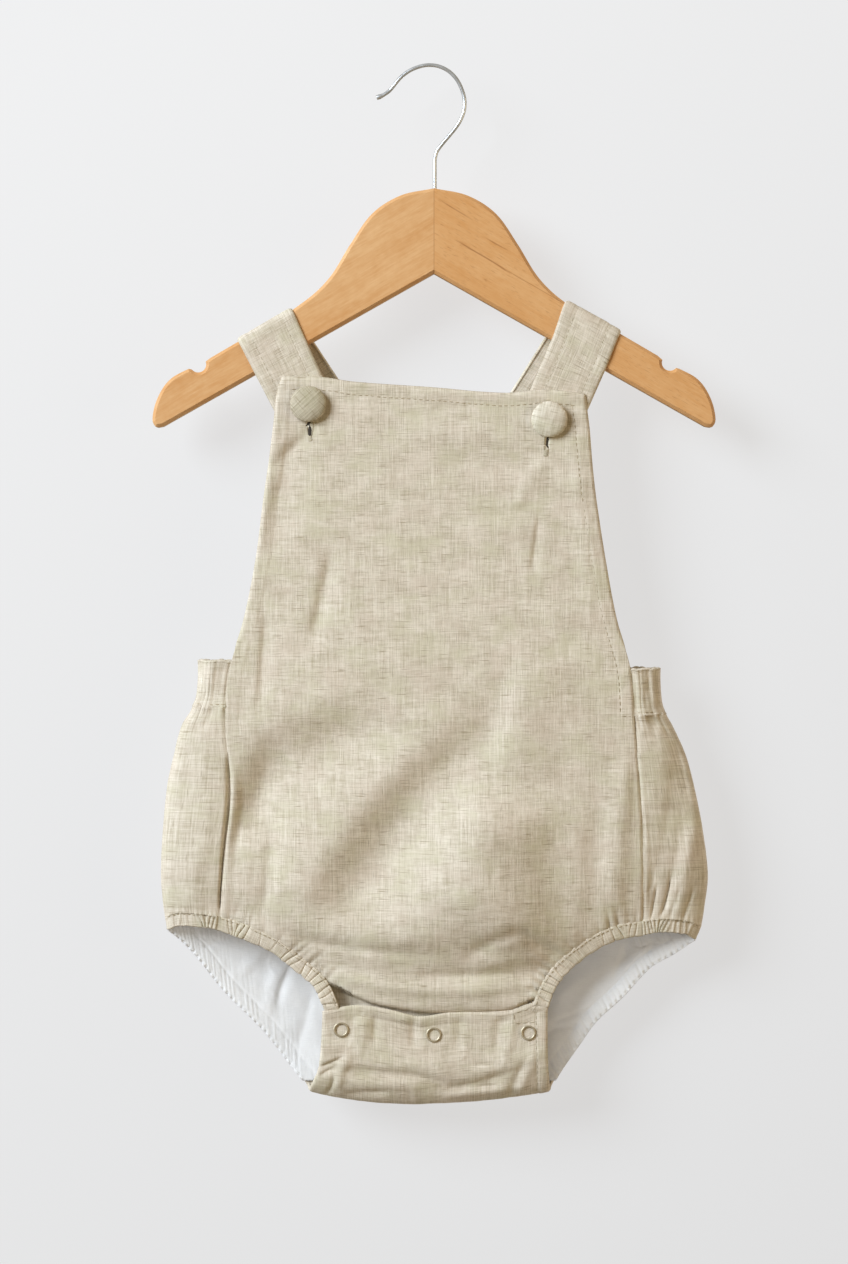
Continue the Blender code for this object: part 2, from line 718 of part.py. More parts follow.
def parted(points, parts_each):
    """The polyline with each of its stretches, a column of the panel beside it, cut into equal parts."""
    found = [points[0]]
    for a, b in zip(points[:-1], points[1:]):
        found += [a + (b - a) * (k + 1) / parts_each for k in range(parts_each)]
    return np.array(found)


def casing_grid(outer, inner, y_of):
    rows = []
    for share in (0.0, 0.5, 1.0):
        line = inner + (outer - inner) * share
        rows.append([(x, y_of(x, z), z) for x, z in line])
    return rows


def front_casing(side):
    """The casing along the front of a leg opening, from the side seam to the end of the tab."""
    lines = casing_lines(side, "front", FRONT_LEG_COLUMNS, CASING_WIDTH)
    outer, inner = (parted(line, FRONT_GATHERS) for line in lines)
    grid = casing_grid(outer, inner, lambda x, z: front_y(x, z) * leg_pull(x, z, "front"))
    last = FRONT_LEG_COLUMNS * FRONT_GATHERS

    def gather(j, i):
        return 0.55 * (-1) ** i * ease(5 * i / last) * ease(4 * (1 - i / last))

    return cloth_object(f"leg_casing_front_{side}", displaced(grid, gather), BAND_CLOTH, linen)


def back_casing(side):
    """The casing of the back panel: from the side seam round the hip and down to the crotch."""
    lines = side_lines(side, CASING_WIDTH) + casing_lines(side, "back", BACK_LEG_COLUMNS, CASING_WIDTH)
    side_outer, side_inner, back_outer, back_inner = (parted(line, BACK_GATHERS) for line in lines)
    for k, point in enumerate(back_inner):
        point[1] -= 0.6 * (1 - ease(k / BACK_GATHERS / 4))
    side_inner[-1] = back_inner[0]
    first = casing_grid(
        side_outer[:-1], side_inner[:-1], lambda x, z: side_y(x, z, side) * leg_pull(x, z, "back")
    )
    second = casing_grid(back_outer, back_inner, lambda x, z: back_y(x, z) * leg_pull(x, z, "back"))
    grid = [a + b for a, b in zip(first, second)]

    def gather(j, i):
        return 0.5 * (-1) ** i * hip_calm(i / BACK_GATHERS, 1000)

    return cloth_object(f"leg_casing_back_{side}", displaced(grid, gather), BAND_CLOTH, linen)


def flap_fold_z(x):
    """The lowest line of the crotch, where the flap folds up to the front."""
    low_x, low_z = FLAP_LOWEST
    reach = (low_x - FLAP_ROWS[7][3]) if x < low_x else (FLAP_ROWS[7][4] - low_x)
    return low_z + FLAP_RISE * ((x - low_x) / reach) ** 2


def crotch_flap():
    """The flap that closes the crotch: it starts at the back panel, passes under and up to the front."""
    grid = []
    for face, share, y, left, right in FLAP_ROWS:
        row = []
        for i in range(FLAP_COLUMNS + 1):
            x = blend(left, right, i / FLAP_COLUMNS)
            top = height_at(FLAP_TOP, x) if face == "front" else CROTCH_Z - 2.4 * GAP
            wave = 0.9 * math.exp(-(((x + 16) / 16) ** 2)) if face == "front" and share < 0.1 else 0.0
            row.append((x, y - wave, blend(top, flap_fold_z(x), share)))
        grid.append(row)
    return cloth_object("crotch_flap", grid, FLAP_CLOTH, linen)


def back_lining():
    """The white lining of the lower back, which shows through the leg openings."""
    inset = CASING_WIDTH + 1.5
    columns, rows = 22, 7
    bottom = even_line(back_bottom(inset), columns)
    off = CLOTH / 2 + CLEAR + LINING_CLOTH / 2 + 1.4
    grid = []
    for j in range(rows + 1):
        down = j / rows
        row = []
        for i in range(columns + 1):
            share = i / columns
            z = blend(-416.0, bottom[i][1] + 1.0, down)
            left, right = row_at(SIDES, z, 1) + 11.0, row_at(SIDES, z, 2) - 11.0
            x = blend(blend(left, right, share), min(max(bottom[i][0], left), right), down**2)
            fold = fold_height(BACK_FOLDS, x, z) * (1 - ease((down - 0.6) / 0.4))
            row.append((x, back_y(x, z) * leg_pull(x, z, "back") + fold - off, z))
        grid.append(row)
    return cloth_object("back_lining", grid, LINING_CLOTH, lining)


def strap_rows(side):
    """Each row's outer and inner end, (x, y, z)."""
    table = STRAPS[side]
    sign = -1.0 if side == "left" else 1.0
    lift = STRAP_CLOTH / 2 + CLEAR + 0.1
    up = np.array([sign * ARM_SLOPE, 0.0, 1.0]) / math.hypot(ARM_SLOPE, 1.0)
    ends = [np.array([x, 0.0, arm_top_z(abs(x))]) for x in table["over"]]
    over = []
    for face in (-1, 1):
        for k in range(STRAP_TURN_ROWS + 1):
            turn = k / STRAP_TURN_ROWS if face < 0 else 1 - k / STRAP_TURN_ROWS
            angle = turn * math.pi / 2
            y = face * (WOOD_THICK / 2 - WOOD_ROUND + (WOOD_ROUND + lift) * math.cos(angle))
            rise = -WOOD_ROUND + (WOOD_ROUND + lift) * math.sin(angle)
            over.append([end + up * rise + np.array([0.0, y, 0.0]) for end in ends])
    rows = [[np.array([xo, y, zo]), np.array([xi, y, zi])] for xo, zo, xi, zi, y in table["front"]]
    rows += over
    rows += [[np.array([xo, y, zo]), np.array([xi, y, zi])] for xo, zo, xi, zi, y in table["back"]]
    return rows


def strap(side):
    """A strap of two layers: sewn inside the back waistband, crossed, over the hanger, behind the bib."""
    grid = [
        [outer + (inner - outer) * i / STRAP_COLUMNS for i in range(STRAP_COLUMNS + 1)]
        for outer, inner in strap_rows(side)
    ]
    return cloth_object(f"strap_{side}", grid, STRAP_CLOTH, linen)


# ---- buttons and snaps ------------------------------------------------------------------------------
def button(side):
    """A domed cloth-covered button, whose shank passes through the buttonhole to the strap."""
    x, z, _ = BUTTONS[side]
    face = front_y(x, z) - CLOTH / 2 - CLEAR - 0.25
    strap_face = STRAPS[side]["front"][0][4] - STRAP_CLOTH / 2
    shank = strap_face - CLEAR - face
    radius = BUTTON_WIDTH / 2
    dome = [
        (radius * math.sin(a), 2.2 + (BUTTON_HEIGHT - 2.2) * math.cos(a))
        for a in (math.radians(angle) for angle in (0, 20, 40, 58, 74, 90))
    ]
    under = [(radius * 0.97, 1.0), (radius * 0.86, 0.2), (SHANK_RADIUS * 1.6, 0.0), (SHANK_RADIUS, -0.3)]
    profile = dome + under + [(SHANK_RADIUS, -shank), (0.0, -shank)]
    thing = turned_object(f"button_{side}", profile, 24, False, covered)
    facing_front(thing, x, face, z)


def flap_face_y():
    """The flap's outer face, which is flat where the snaps sit."""
    return FLAP_ROWS[3][2] - FLAP_CLOTH / 2


def snap_ring(name):
    x, z = SNAPS[name]
    inner = SNAP_RADIUS - SNAP_RIM
    profile = (
        (inner + 0.25, SNAP_HEIGHT), (SNAP_RADIUS - 0.35, SNAP_HEIGHT), (SNAP_RADIUS, SNAP_HEIGHT - 0.45),
        (SNAP_RADIUS, 0.0), (inner, 0.0), (inner, SNAP_HEIGHT - 0.3),
    )
    thing = turned_object(f"snap_ring_{name}", profile, 18, True, snap_metal)
    facing_front(thing, x, flap_face_y() - CLEAR, z)


def snap_stud(name):
    """The snap's other half, between the flap and the tab."""
    x, z = SNAPS[name]
    back = FLAP_ROWS[3][2] + FLAP_CLOTH / 2 + CLEAR + STUD_HEIGHT
    profile = (
        (0.0, STUD_HEIGHT), (2.0, STUD_HEIGHT), (2.2, 0.7), (STUD_RADIUS - 0.3, 0.6), (STUD_RADIUS, 0.3),
        (STUD_RADIUS, 0.0), (0.0, 0.0),
    )
    thing = turned_object(f"snap_stud_{name}", profile, 14, False, snap_metal)
    facing_front(thing, x, back, z)


# ---- hanger -----------------------------------------------------------------------------------------
def arm_top_z(x):
    """Height of an arm's upper edge, x mm out from the middle."""
    shoulder_x, shoulder_z = SHOULDER[-1]
    if x < shoulder_x:
        return height_at(SHOULDER, x)
    return shoulder_z - ARM_SLOPE * (x - shoulder_x)


def notch_arc():
    """The round notch for strap loops in an arm's upper edge, from its inner lip to its outer one."""
    centre = np.array([NOTCH_X, arm_top_z(NOTCH_X) + 0.8])
    tilt = -math.atan(ARM_SLOPE)
    angles = [math.radians(a) + tilt for a in np.linspace(190, 350, 8)]
    return [centre + NOTCH_RADIUS * np.array([math.cos(a), math.sin(a)]) for a in angles]


def half_outline():
    """(x, z) from the top of the head out to the tip and in along the underside, apex left out."""
    shoulder = smooth_line(SHOULDER, 14)
    tip = smooth_line(TIP, 11)
    return list(shoulder) + notch_arc() + list(tip)


def hanger_wood():
    """A flat board with rounded edges, cut from a symmetrical outline, and a hole for the hook."""
    half = half_outline()
    outline = half + [np.array([0.0, APEX_Z])] + [np.array([-x, z]) for x, z in half[:0:-1]]
    curve = bpy.data.curves.new("hanger_wood", "CURVE")
    curve.dimensions = "2D"
    curve.fill_mode = "BOTH"
    spline = curve.splines.new("POLY")
    spline.points.add(len(outline) - 1)
    for point, (x, z) in zip(spline.points, outline):
        point.co = (x * MM, z * MM, 0.0, 1.0)
    spline.use_cyclic_u = True
    curve.extrude = (WOOD_THICK / 2 - WOOD_ROUND) * MM
    curve.bevel_depth = WOOD_ROUND * MM
    curve.bevel_resolution = 1
    curve.offset = -WOOD_ROUND * MM
    board = new_object("hanger_wood", curve, wood)
    board.rotation_euler = (math.pi / 2, 0.0, 0.0)
    bpy.context.view_layer.update()
    board = as_mesh(board)
    hole_depth = HOOK_DEPTH + CLEAR
    bpy.ops.mesh.primitive_cylinder_add(
        vertices=16, radius=(WIRE_RADIUS + 0.3) * MM, depth=(hole_depth + 4) * MM
    )
    drill = bpy.context.object
    drill.name = "hook_hole"
    drill.location = (HOOK[0][0] * MM, 0.0, (SHOULDER[0][1] - hole_depth / 2 + 2) * MM)
    cut(board, drill)


def hanger_hook():
    """Chromed wire with a small ball formed on its end."""
    foot_z = SHOULDER[0][1] - HOOK_DEPTH
    route = np.concatenate([[(HOOK[0][0], foot_z), (HOOK[0][0], -57.0)], smooth_line(HOOK, HOOK_STEPS)])
    curve = bpy.data.curves.new("hanger_hook", "CURVE")
    curve.dimensions = "3D"
    curve.bevel_depth = WIRE_RADIUS * MM
    curve.bevel_resolution = 2
    curve.use_fill_caps = True
    spline = curve.splines.new("POLY")
    spline.points.add(len(route) - 1)
    for point, (x, z) in zip(spline.points, route):
        point.co = (x * MM, 0.0, z * MM, 1.0)
    wire = as_mesh(new_object("hanger_hook", curve, chrome))
    bpy.ops.mesh.primitive_uv_sphere_add(segments=14, ring_count=8, radius=HOOK_BALL_RADIUS * MM)
    ball = bpy.context.object
    ball.name = "hook_ball"
    ball.location = (HOOK[-1][0] * MM, 0.0, HOOK[-1][1] * MM)
    cut(wire, ball)
    wire.modifiers["cut"].operation = "UNION"


# ---- build ------------------------------------------------------------------------------------------
LEG_LINES = {
    side: {part: LEGS[side]["side"] + tuple(map(tuple, smooth_line(LEGS[side][part], 30))) for part in PULL_ENDS}
    for side in LEGS
}
clear_scene()
parts = new_collection("baby_romper_on_hanger")
cutters = new_collection("cutters")
linen = new_material("linen", 0.9)
lining = new_material("lining", 0.85)
covered = new_material("button", 0.9)
snap_metal = new_material("snap", 0.35, 1.0)
wood = new_material("wood", 0.4)
chrome = new_material("chrome", 0.12, 1.0)

front_panel()
back_panel()
back_waistband()
crotch_flap()
back_lining()
for opening in LEGS:
    front_casing(opening)
    back_casing(opening)
for strap_side in STRAPS:
    strap(strap_side)
    button(strap_side)
for snap_name in SNAPS:
    snap_ring(snap_name)
    snap_stud(snap_name)
hanger_wood()
hanger_hook()
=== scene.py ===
"""A baby's linen romper on a child's wooden hanger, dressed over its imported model.

The tables are in millimetres, in the model's own frame: +Z up, front towards -Y, origin inside the hook.
"""

import math

import bmesh
import bpy
import numpy as np
from mathutils import Euler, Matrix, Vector
from mathutils.bvhtree import BVHTree


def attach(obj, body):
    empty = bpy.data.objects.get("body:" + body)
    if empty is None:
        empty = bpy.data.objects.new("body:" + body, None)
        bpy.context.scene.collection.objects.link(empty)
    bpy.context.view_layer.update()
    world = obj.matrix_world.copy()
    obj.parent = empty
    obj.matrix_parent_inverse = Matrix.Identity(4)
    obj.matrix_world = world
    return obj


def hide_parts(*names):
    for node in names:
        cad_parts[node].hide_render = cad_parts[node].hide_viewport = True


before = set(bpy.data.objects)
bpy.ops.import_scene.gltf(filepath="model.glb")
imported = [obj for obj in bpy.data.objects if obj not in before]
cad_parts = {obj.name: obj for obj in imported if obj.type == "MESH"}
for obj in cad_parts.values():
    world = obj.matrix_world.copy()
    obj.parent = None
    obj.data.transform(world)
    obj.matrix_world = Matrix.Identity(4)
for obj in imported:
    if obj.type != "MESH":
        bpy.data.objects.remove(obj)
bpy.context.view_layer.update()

MM = 0.001
CASING_WIDTH = 7.0
SEWN_IN = CASING_WIDTH - 0.3  # where a panel's edge lies under its casing
LEG_PULL = 0.68  # the least share of its fullness that the cloth keeps beside a leg opening
BIB_SEAM = 6.6  # down from the bib's top edge
SIDE_FULLNESS = {"left": 2.8, "right": 2.2}
PULL_REACH = 42.0  # from the leg opening
PULL_ENDS = {"front": -508.0, "back": -538.0}  # the z where it ends, towards the crotch
WOOD_THICK = 12.0
WOOD_ROUND = 1.6
ARM_SLOPE = 0.585
APEX_Z = -110.7  # of the board's lower edge at its middle
NOTCH_X = 126.0
NOTCH_RADIUS = 4.3
CROTCH_Z = -542.5
STRAP_WIDTH = 32.0
STRAP_SEAM = 6.2  # in from either edge
STRAP_LIFT = 1.25  # of the middle of a strap's cloth over the board
SNAP_Y = -13.05  # just in front of the flap, where the rings lie

FRONT = (
    # z, left, right, depth, edge share
    (-162, -78.5, 79, 9.3, 0.98),
    (-172.8, -82.9, 79.8, 9.3, 0.98),
    (-193.1, -85.4, 82.4, 9.4, 0.98),
    (-212.9, -87.9, 84, 9.8, 0.96),
    (-231.7, -90.6, 86.1, 10.4, 0.92),
    (-263.8, -94.7, 91, 11.8, 0.86),
    (-295.9, -101.1, 97, 13.6, 0.82),
    (-321.5, -108.6, 104.4, 15.4, 0.80),
    (-347.2, -110.9, 106.4, 16.6, 0.80),
    (-386.8, -108.6, 109.4, 17.8, 0.80),
    (-418.9, -111.6, 111, 18.8, 0.78),
    (-448.3, -113.6, 110.9, 20.8, 0.70),
    (-463, -113.4, 110.7, 21.8, 0.60),
    (-474, -113.4, 110.7, 18.8, 0.56),
    (-482, -113.4, 110.7, 16.4, 0.60),
    (-490, -113.4, 110.7, 15.2, 0.66),
    (-496, -113.4, 110.7, 14.6, 0.70),
    (-501, -113.4, 110.7, 14, 0.74),
    (-505, -113.4, 110.7, 12, 0.80),
    (-509, -113.4, 110.7, 9, 0.80),
    (-531, -113.4, 110.7, 7.6, 0.86),
)
BIB_TOP = (
    (-80.2, -166.2), (-59, -166.8), (-42, -169.2), (0, -172.2), (38, -175.2),
    (60, -173.4), (80, -175.6),
)
# Where the belly turns in behind the flap. Left of the middle a shaded recess shows under this edge.
BELLY_EDGE = (
    (-60, -486), (-54.6, -488.8), (-46.3, -493), (-38, -496.9), (-30, -499.6), (-14, -502.6),
    (-2, -504), (10, -504.2), (38, -503.2), (46, -500.6), (57, -497),
)
SIDES = (
    # z, left, right, depth of the back
    (-317.3, -125.7, 120.4, 10.6),
    (-336, -126.6, 121, 10.8),
    (-344, -129.6, 122.6, 11.6),
    (-352, -134.4, 127, 13.2),
    (-368.1, -138.6, 134, 15.8),
    (-384.1, -142, 138.4, 17.6),
    (-408.2, -144.4, 143.2, 19.2),
    (-432.3, -145.4, 145.9, 20),
    (-448.3, -144.2, 144.2, 19.6),
    (-461.2, -142.3, 142, 18.6),
    (-466.5, -142.3, 139.6, 18),
    (-490, -142.3, 139.6, 15.2),
    (-515, -142.3, 139.6, 10.8),
    (-542.5, -142.3, 139.6, 5.2),
)
WAIST_TOP = (-317.6, -317.2, -318.5, -321.5, -322.2)  # left seam, left hip, middle, right hip, right seam
WAIST_WIDTH = 25.0
LEGS = {
    "left": {
        "front": (
            (-113.4, -461.3), (-98.4, -467.1), (-86.7, -472.5), (-76, -481), (-64.7, -490.6),
            (-59.5, -500), (-56.5, -511), (-55, -530),
        ),
        "side": ((-113.4, -461.3), (-121.4, -459.8), (-134.8, -459), (-142.3, -461.2)),
        "back": (
            (-142.3, -461.2), (-130.5, -471.9), (-112.9, -493.8), (-94.7, -512), (-86.7, -521.1),
            (-74.9, -536.6), (-70, -542.5),
        ),
    },
    "right": {
        "front": (
            (110.7, -463.8), (100, -465.5), (85.6, -471.9), (69.5, -485.2), (63.1, -495.4),
            (59, -506.6), (56.8, -517.9), (56, -530),
        ),
        "side": ((110.7, -463.8), (120.9, -462.2), (133.8, -463.8), (139.6, -466.5)),
        "back": (
            (139.6, -466.5), (128.9, -474), (115.6, -482), (101.1, -497.6), (86.7, -510.9),
            (78.6, -522.2), (69.5, -535), (64.8, -542.5),
        ),
    },
}
# Soft folds: a ridge where the height is positive, a trough where it is negative. The first width is on the
# left of the way from point 1 to point 2, the second on its right.
FRONT_FOLDS = (
    # x1, z1, x2, z2, bow, height, width left, width right
    # The trough under the left hip, and the wide ridges above and below it.
    (-96, -354, -36, -332, -4, 1, 14, 12),
    (-110, -414, -24, -354, -13, -4, 14, 20),
    (-96, -408, -86, -362, 0, -2.6, 9, 10),
    (-74, -446, 4, -354, -7, 2.6, 18, 12),
    # The long slanting trough across the belly, and the full round form below it.
    (-48, -456, 28, -350, -2, -2.7, 16, 17),
    (-52, -452, -16, -400, 2, -1.6, 16, 14),
    (26, -366, 42, -318, 0, -0.8, 8, 8),
    (38, -376, 52, -318, 0, 1.9, 10, 18),
    (-14, -466, 22, -398, 0, 1.6, 22, 20),
    (27, -458, 42, -394, -4, 7.4, 26, 32),
    (-4, -460, 30, -392, 0, 1.7, 18, 16),
    # The hollow above the right leg and the small folds beside it.
    (62, -458, 62, -404, 0, -1.5, 12, 20),
    (76, -464, 76, -400, 0, 0.6, 7, 6),
    (87, -434, 88, -396, 0, -0.6, 7, 6),
    (95, -458, 101, -376, 0, 1.5, 9, 5),
    # Upright folds beside the left side seam.
    (-91, -454, -84, -402, 0, -1.4, 4, 4),
    (-101, -452, -99, -398, 0, 0.6, 4, 4),
    (-93, -342, -90, -296, 0, -1, 2, 5),
    (-64, -304, -55, -262, 0, -1.4, 3.5, 5),
    (-88, -254, -74, -206, -2, -1.6, 5, 10),
    (-90, -216, -66, -196, 0, -1.1, 3, 4),
    # Soft forms of the bib.
    (-6, -196, 56, -196, 0, 1, 9, 6),
    (8, -210, 56, -210, 0, -0.7, 6, 12),
    (52, -268, 55.5, -242, 0, -0.8, 1.3, 4),
    (22, -240, 48, -236, 1, -0.5, 2, 4),
    (42, -238, 60, -207, 0, 0.6, 5, 4),
    (85, -300, 75, -200, 0, 0.8, 5, 11),
    (-48, -300, -12, -322, 0, 0.8, 12, 10),
    # Creases across the cloth under the belly, down to the flap.
    (-74, -464, -8, -473, 2, -1, 3.5, 3),
    (20, -472, 46, -462, -1, -1.3, 4, 3),
    (44, -461, 68, -478, -1, -1.2, 3.5, 4),
    (24, -478, 60, -474, 0, 0.8, 3, 3),
    (-6, -485, 62, -484, 0, -1, 3, 3),
    (-56, -484, 48, -490, 6, 1, 3.5, 3.5),
)
BACK_FOLDS = (
    # x1, z1, x2, z2, bow, height, width left, width right
    (-84, -364, -20, -420, 6, -2.8, 9, 9),
    (-58, -352, 10, -404, 4, 2.2, 11, 11),
    (86, -362, 22, -426, -6, -3, 9, 9),
    (52, -380, -26, -446, -5, 2.4, 12, 12),
    (104, -392, 92, -462, 3, 2, 7, 7),
    (-106, -384, -96, -456, -3, 2, 7, 7),
    (-40, -486, 44, -480, 5, -2, 8, 8),
)
HIP_FOLDS = (
    # x1, z1, x2, z2, bow, height, width left, width right
    # Right hip: one deep fold slants down to the side seam, and smaller ones fan out beside it.
    (112, -449, 129.5, -357, 3.4, -1.3, 14, 9),
    (112, -449, 129.5, -357, 3.4, -0.7, 3, 5),
    (122, -452, 134, -372, 3, -1.4, 5, 6),
    (115.5, -457, 118.5, -438, 0, -1.3, 0.9, 0.9),
    (119.5, -457, 126, -432, 1, -1.6, 0.9, 1.3),
    (125, -457, 131, -438, 0, -1, 0.9, 1.2),
    (128, -454, 139, -404, 0, 1.4, 4, 4),
    (132, -457, 137.5, -440, 0, -1.1, 1.1, 1.3),
    (119, -352, 117, -343, 0, -0.9, 1.5, 2),
    (110, -354, 108.2, -345, 0, -1, 0.9, 1.2),
    (126, -358, 113, -347, 0, -1.1, 1.6, 2.2),
    (116, -400, 121, -360, 0, 0.5, 5, 5),
    # Left hip: short gathers under the waistband and one faint upright crease.
    (-127, -356, -124, -343, 0, -0.9, 1.6, 1.6),
    (-123, -354, -120.5, -342, 0, -0.9, 1.3, 1.3),
    (-120, -352, -118, -342, 0, -0.6, 1.3, 1.3),
    (-134, -400, -128, -356, 1, -0.8, 5, 5),
    (-114.5, -448, -112.5, -371, 3.6, -0.4, 0.8, 0.9),
    (-128, -446, -120, -392, 0, 0.8, 6, 6),
)
FLAP_ROWS = (
    # face, share of the way down to the fold, y, left, right
    ("front", 0.00, -13, -58.9, 60.3),
    ("front", 0.07, -12.4, -59, 60.2),
    ("front", 0.12, -12, -59.1, 60),
    ("front", 0.48, -12, -60, 60),
    ("front", 0.70, -10.9, -61.4, 60.3),
    ("front", 0.87, -8.6, -64.2, 61),
    ("front", 0.965, -5.4, -66, 61.5),
    ("back", 1.00, -1.6, -66.6, 61.8),
    ("back", 0.72, 2.4, -67.2, 62.4),
    ("back", 0.36, 4.2, -68.4, 63.4),
    ("back", 0.00, 5, -69.8, 64.6),
)
FLAP_TOP = (
    (-58.9, -504.5), (-41, -501.2), (-24, -503.5), (-8, -507.2), (7, -505.4), (39, -504.3),
    (49, -501), (55, -498.6), (60.3, -499.2),
)
FLAP_TURN = 7  # the row at the fold
FLAP_LOWEST = (-13, -553.9)
FLAP_RISE = 6.8
SNAPS = {"left": (-49.6, -513.9), "middle": (-0.3, -516.6), "right": (50.1, -515.6)}
BUTTONS = {
    # x, z, lean of the buttonhole and turn of the button's weave in degrees, the button's tint and ribs
    "left": (-66.9, -180.8, 3, 48, (188, 178, 156), 1.9),
    "right": (61.5, -188.9, -6, 12, (215, 206, 188), 1.0),
}
STRAPS = {
    "left": {
        # outer x, outer z, inner x, inner z, y
        "front": (
            (-75.5, -201.7, -47.5, -192.5, -7.1),
            (-87.6, -178.7, -58.9, -168.6, -7.1),
            (-95.6, -163.4, -68, -148.4, -7.1),
        ),
        "over": (-104.1, -76),
        "lift": (0, 0),
        "back": (
            (-93.6, -162.6, -66, -145, 7.1),
            (-79.1, -184.1, -51.5, -167.1, 7.1),
            (-44.8, -239.8, -11.9, -231.4, 6.9),
            (-12, -293, 24.2, -290, 6.8),
            (2.8, -317, 40.9, -317, 6.9),
            (13, -336, 51, -336, 7),
        ),
    },
    "right": {
        "front": (
            (73.1, -203, 42.6, -193.5, -7.1),
            (84, -178, 52.6, -171.6, -7.1),
            (91.4, -161.2, 64, -144.6, -7.1),
        ),
        "over": (99, 70.4),
        "lift": (1.5, 0),
        "back": (
            (90.6, -157.6, 61.5, -142, 7.1),
            (75, -182, 45.6, -167.4, 7.1),
            (44.4, -230, 8.6, -225.6, 8.6),
            (29, -254.2, -9.2, -253.6, 9),
            (-6.2, -310, -44.6, -310, 8.8),
            (-10.9, -317, -49.4, -317, 7.1),
            (-23, -336, -61.4, -336, 7),
        ),
    },
}
HOOK = (
    (0.4, -49.5), (1.4, -45.5), (4.1, -41.6), (11.1, -33.2), (14, -28.7), (16, -23.6), (16.4, -18.3),
    (15.2, -12.9), (12.5, -7.2), (8.3, -2.6), (3, 0.2), (-2.4, 1), (-7.4, 0.3), (-13.2, -2.1),
    (-18.1, -5.9), (-21.4, -9.9), (-24, -12.9), (-27.4, -15.2), (-30.7, -16.5),
)
SHOULDER = (
    (0, -65.3), (18, -69.2), (33, -78.8), (44.8, -95.4), (54.6, -111.4), (63.6, -121.2), (76, -130.6),
)
TIP = (
    (131, -161.7), (136.5, -164.4), (140, -166.6), (143.4, -170), (146.4, -174.7), (148.9, -180.6),
    (150.2, -186.6), (150.2, -190.2), (148.4, -192.8), (144.6, -192.4),
)
# How far the arm's top edge and its notch lie over the arm's line.
ARM_LIFTS = {"left": (0.1, 0.5), "right": (1.3, 1.4)}
GRAIN_LINES = (
    # how far up the board at its middle, from x to x, half width, strength
    (-86.4, 11, 42, 0.65, 0.8),
    (-86, 38, 72, 0.40, 0.6),
    (-70.4, 2, 21, 0.60, 0.6),
    (-76.6, 26, 40, 0.60, 0.7),
)


# ---- curves and noise -------------------------------------
def blend(low, high, share):
    return low + (high - low) * share


def ease(share):
    share = np.clip(share, 0.0, 1.0)
    return share * share * (3 - 2 * share)


def peak(offset, width, power=2):
    """1 where the offset is 0, fading out within about two widths."""
    return np.exp(-((offset / width) ** power))


def rolled(gap, width):
    """1 at an edge, fading to 0 at this width from it."""
    return np.clip(1 - gap / width, 0, 1) ** 2


def stacked(*parts):
    """Points whose coordinates are these numbers and arrays, brought to one shape."""
    return np.stack(np.broadcast_arrays(*parts), axis=-1)


def spaced(*runs):
    """A column of shares from runs of (first, last, count)."""
    return np.unique(np.concatenate([np.linspace(*run) for run in runs]))[:, None]


def read(x, xs, ys):
    """Values at x of a smooth curve through these points, whose xs rise."""
    xs, ys = np.asarray(xs, float), np.asarray(ys, float)
    x = np.clip(x, xs[0], xs[-1])
    i = np.clip(np.searchsorted(xs, x, side="right") - 1, 0, len(xs) - 2)
    k = np.arange(len(xs))
    low, high = np.maximum(k - 1, 0), np.minimum(k + 1, len(xs) - 1)
    slopes = (ys[high] - ys[low]) / (xs[high] - xs[low])
    span = xs[i + 1] - xs[i]
    t = (x - xs[i]) / span
    bulge = t * (1 - t) * (slopes[i] * (1 - t) - slopes[i + 1] * t)
    return blend(ys[i], ys[i + 1], ease(t)) + span * bulge


def row_at(table, z, column):
    rows = np.array(table, float)[::-1]
    return read(z, rows[:, 0], rows[:, column])


def height_at(line, x):
    return read(x, *np.array(line, float).T)


def line_lengths(line):
    return np.concatenate([[0], np.cumsum(np.linalg.norm(np.diff(line, axis=0), axis=1))])


def sample(line, lengths, steps, reader=np.interp):
    """The points of a line at these steps, where `lengths` says how far along it each of its points is."""
    return np.stack([reader(steps, lengths, line[:, k]) for k in range(line.shape[1])], axis=1)


def even_line(points, count, upright=1.0):
    """count + 1 points evenly spaced along a polyline, where a mm upwards counts as `upright` mm."""
    points = np.array(points, float)
    weighted = points.copy()
    weighted[:, -1] *= upright
    lengths = line_lengths(weighted)
    return sample(points, lengths, np.linspace(0, lengths[-1], count + 1))


def smooth_line(points, count, upright=1.0):
    points = np.array(points, float)
    lengths = line_lengths(points)
    curve = sample(points, lengths, np.linspace(0, lengths[-1], 30 * len(points)), read)
    return even_line(curve, count, upright)


def near_line(line, x, z):
    """How far each point is from a line of points (x, z), and how far along the line it lies."""
    gaps = np.hypot(x[..., None] - line[:, 0], z[..., None] - line[:, 1])
    i = gaps.argmin(axis=-1)
    along = np.gradient(line, axis=0)
    along /= np.linalg.norm(along, axis=1, keepdims=True)
    past = (x - line[i, 0]) * along[i, 0] + (z - line[i, 1]) * along[i, 1]
    return gaps.min(axis=-1), line_lengths(line)[i] + past


def noise(x, y, seed):
    """Smooth noise from about -1 to 1, with one bump for each unit of x and y."""
    table = np.random.default_rng(seed).uniform(-1, 1, (64, 64))
    xi, yi = np.floor(x).astype(int), np.floor(y).astype(int)
    fx, fy = ease(x - xi), ease(y - yi)
    xi, yi, xj, yj = xi % 64, yi % 64, (xi + 1) % 64, (yi + 1) % 64
    low = blend(table[xi, yi], table[xj, yi], fx)
    high = blend(table[xi, yj], table[xj, yj], fx)
    return blend(low, high, fy)


def wander(x, seed):
    """Smooth noise along a line."""
    return noise(x, 0.0, seed)


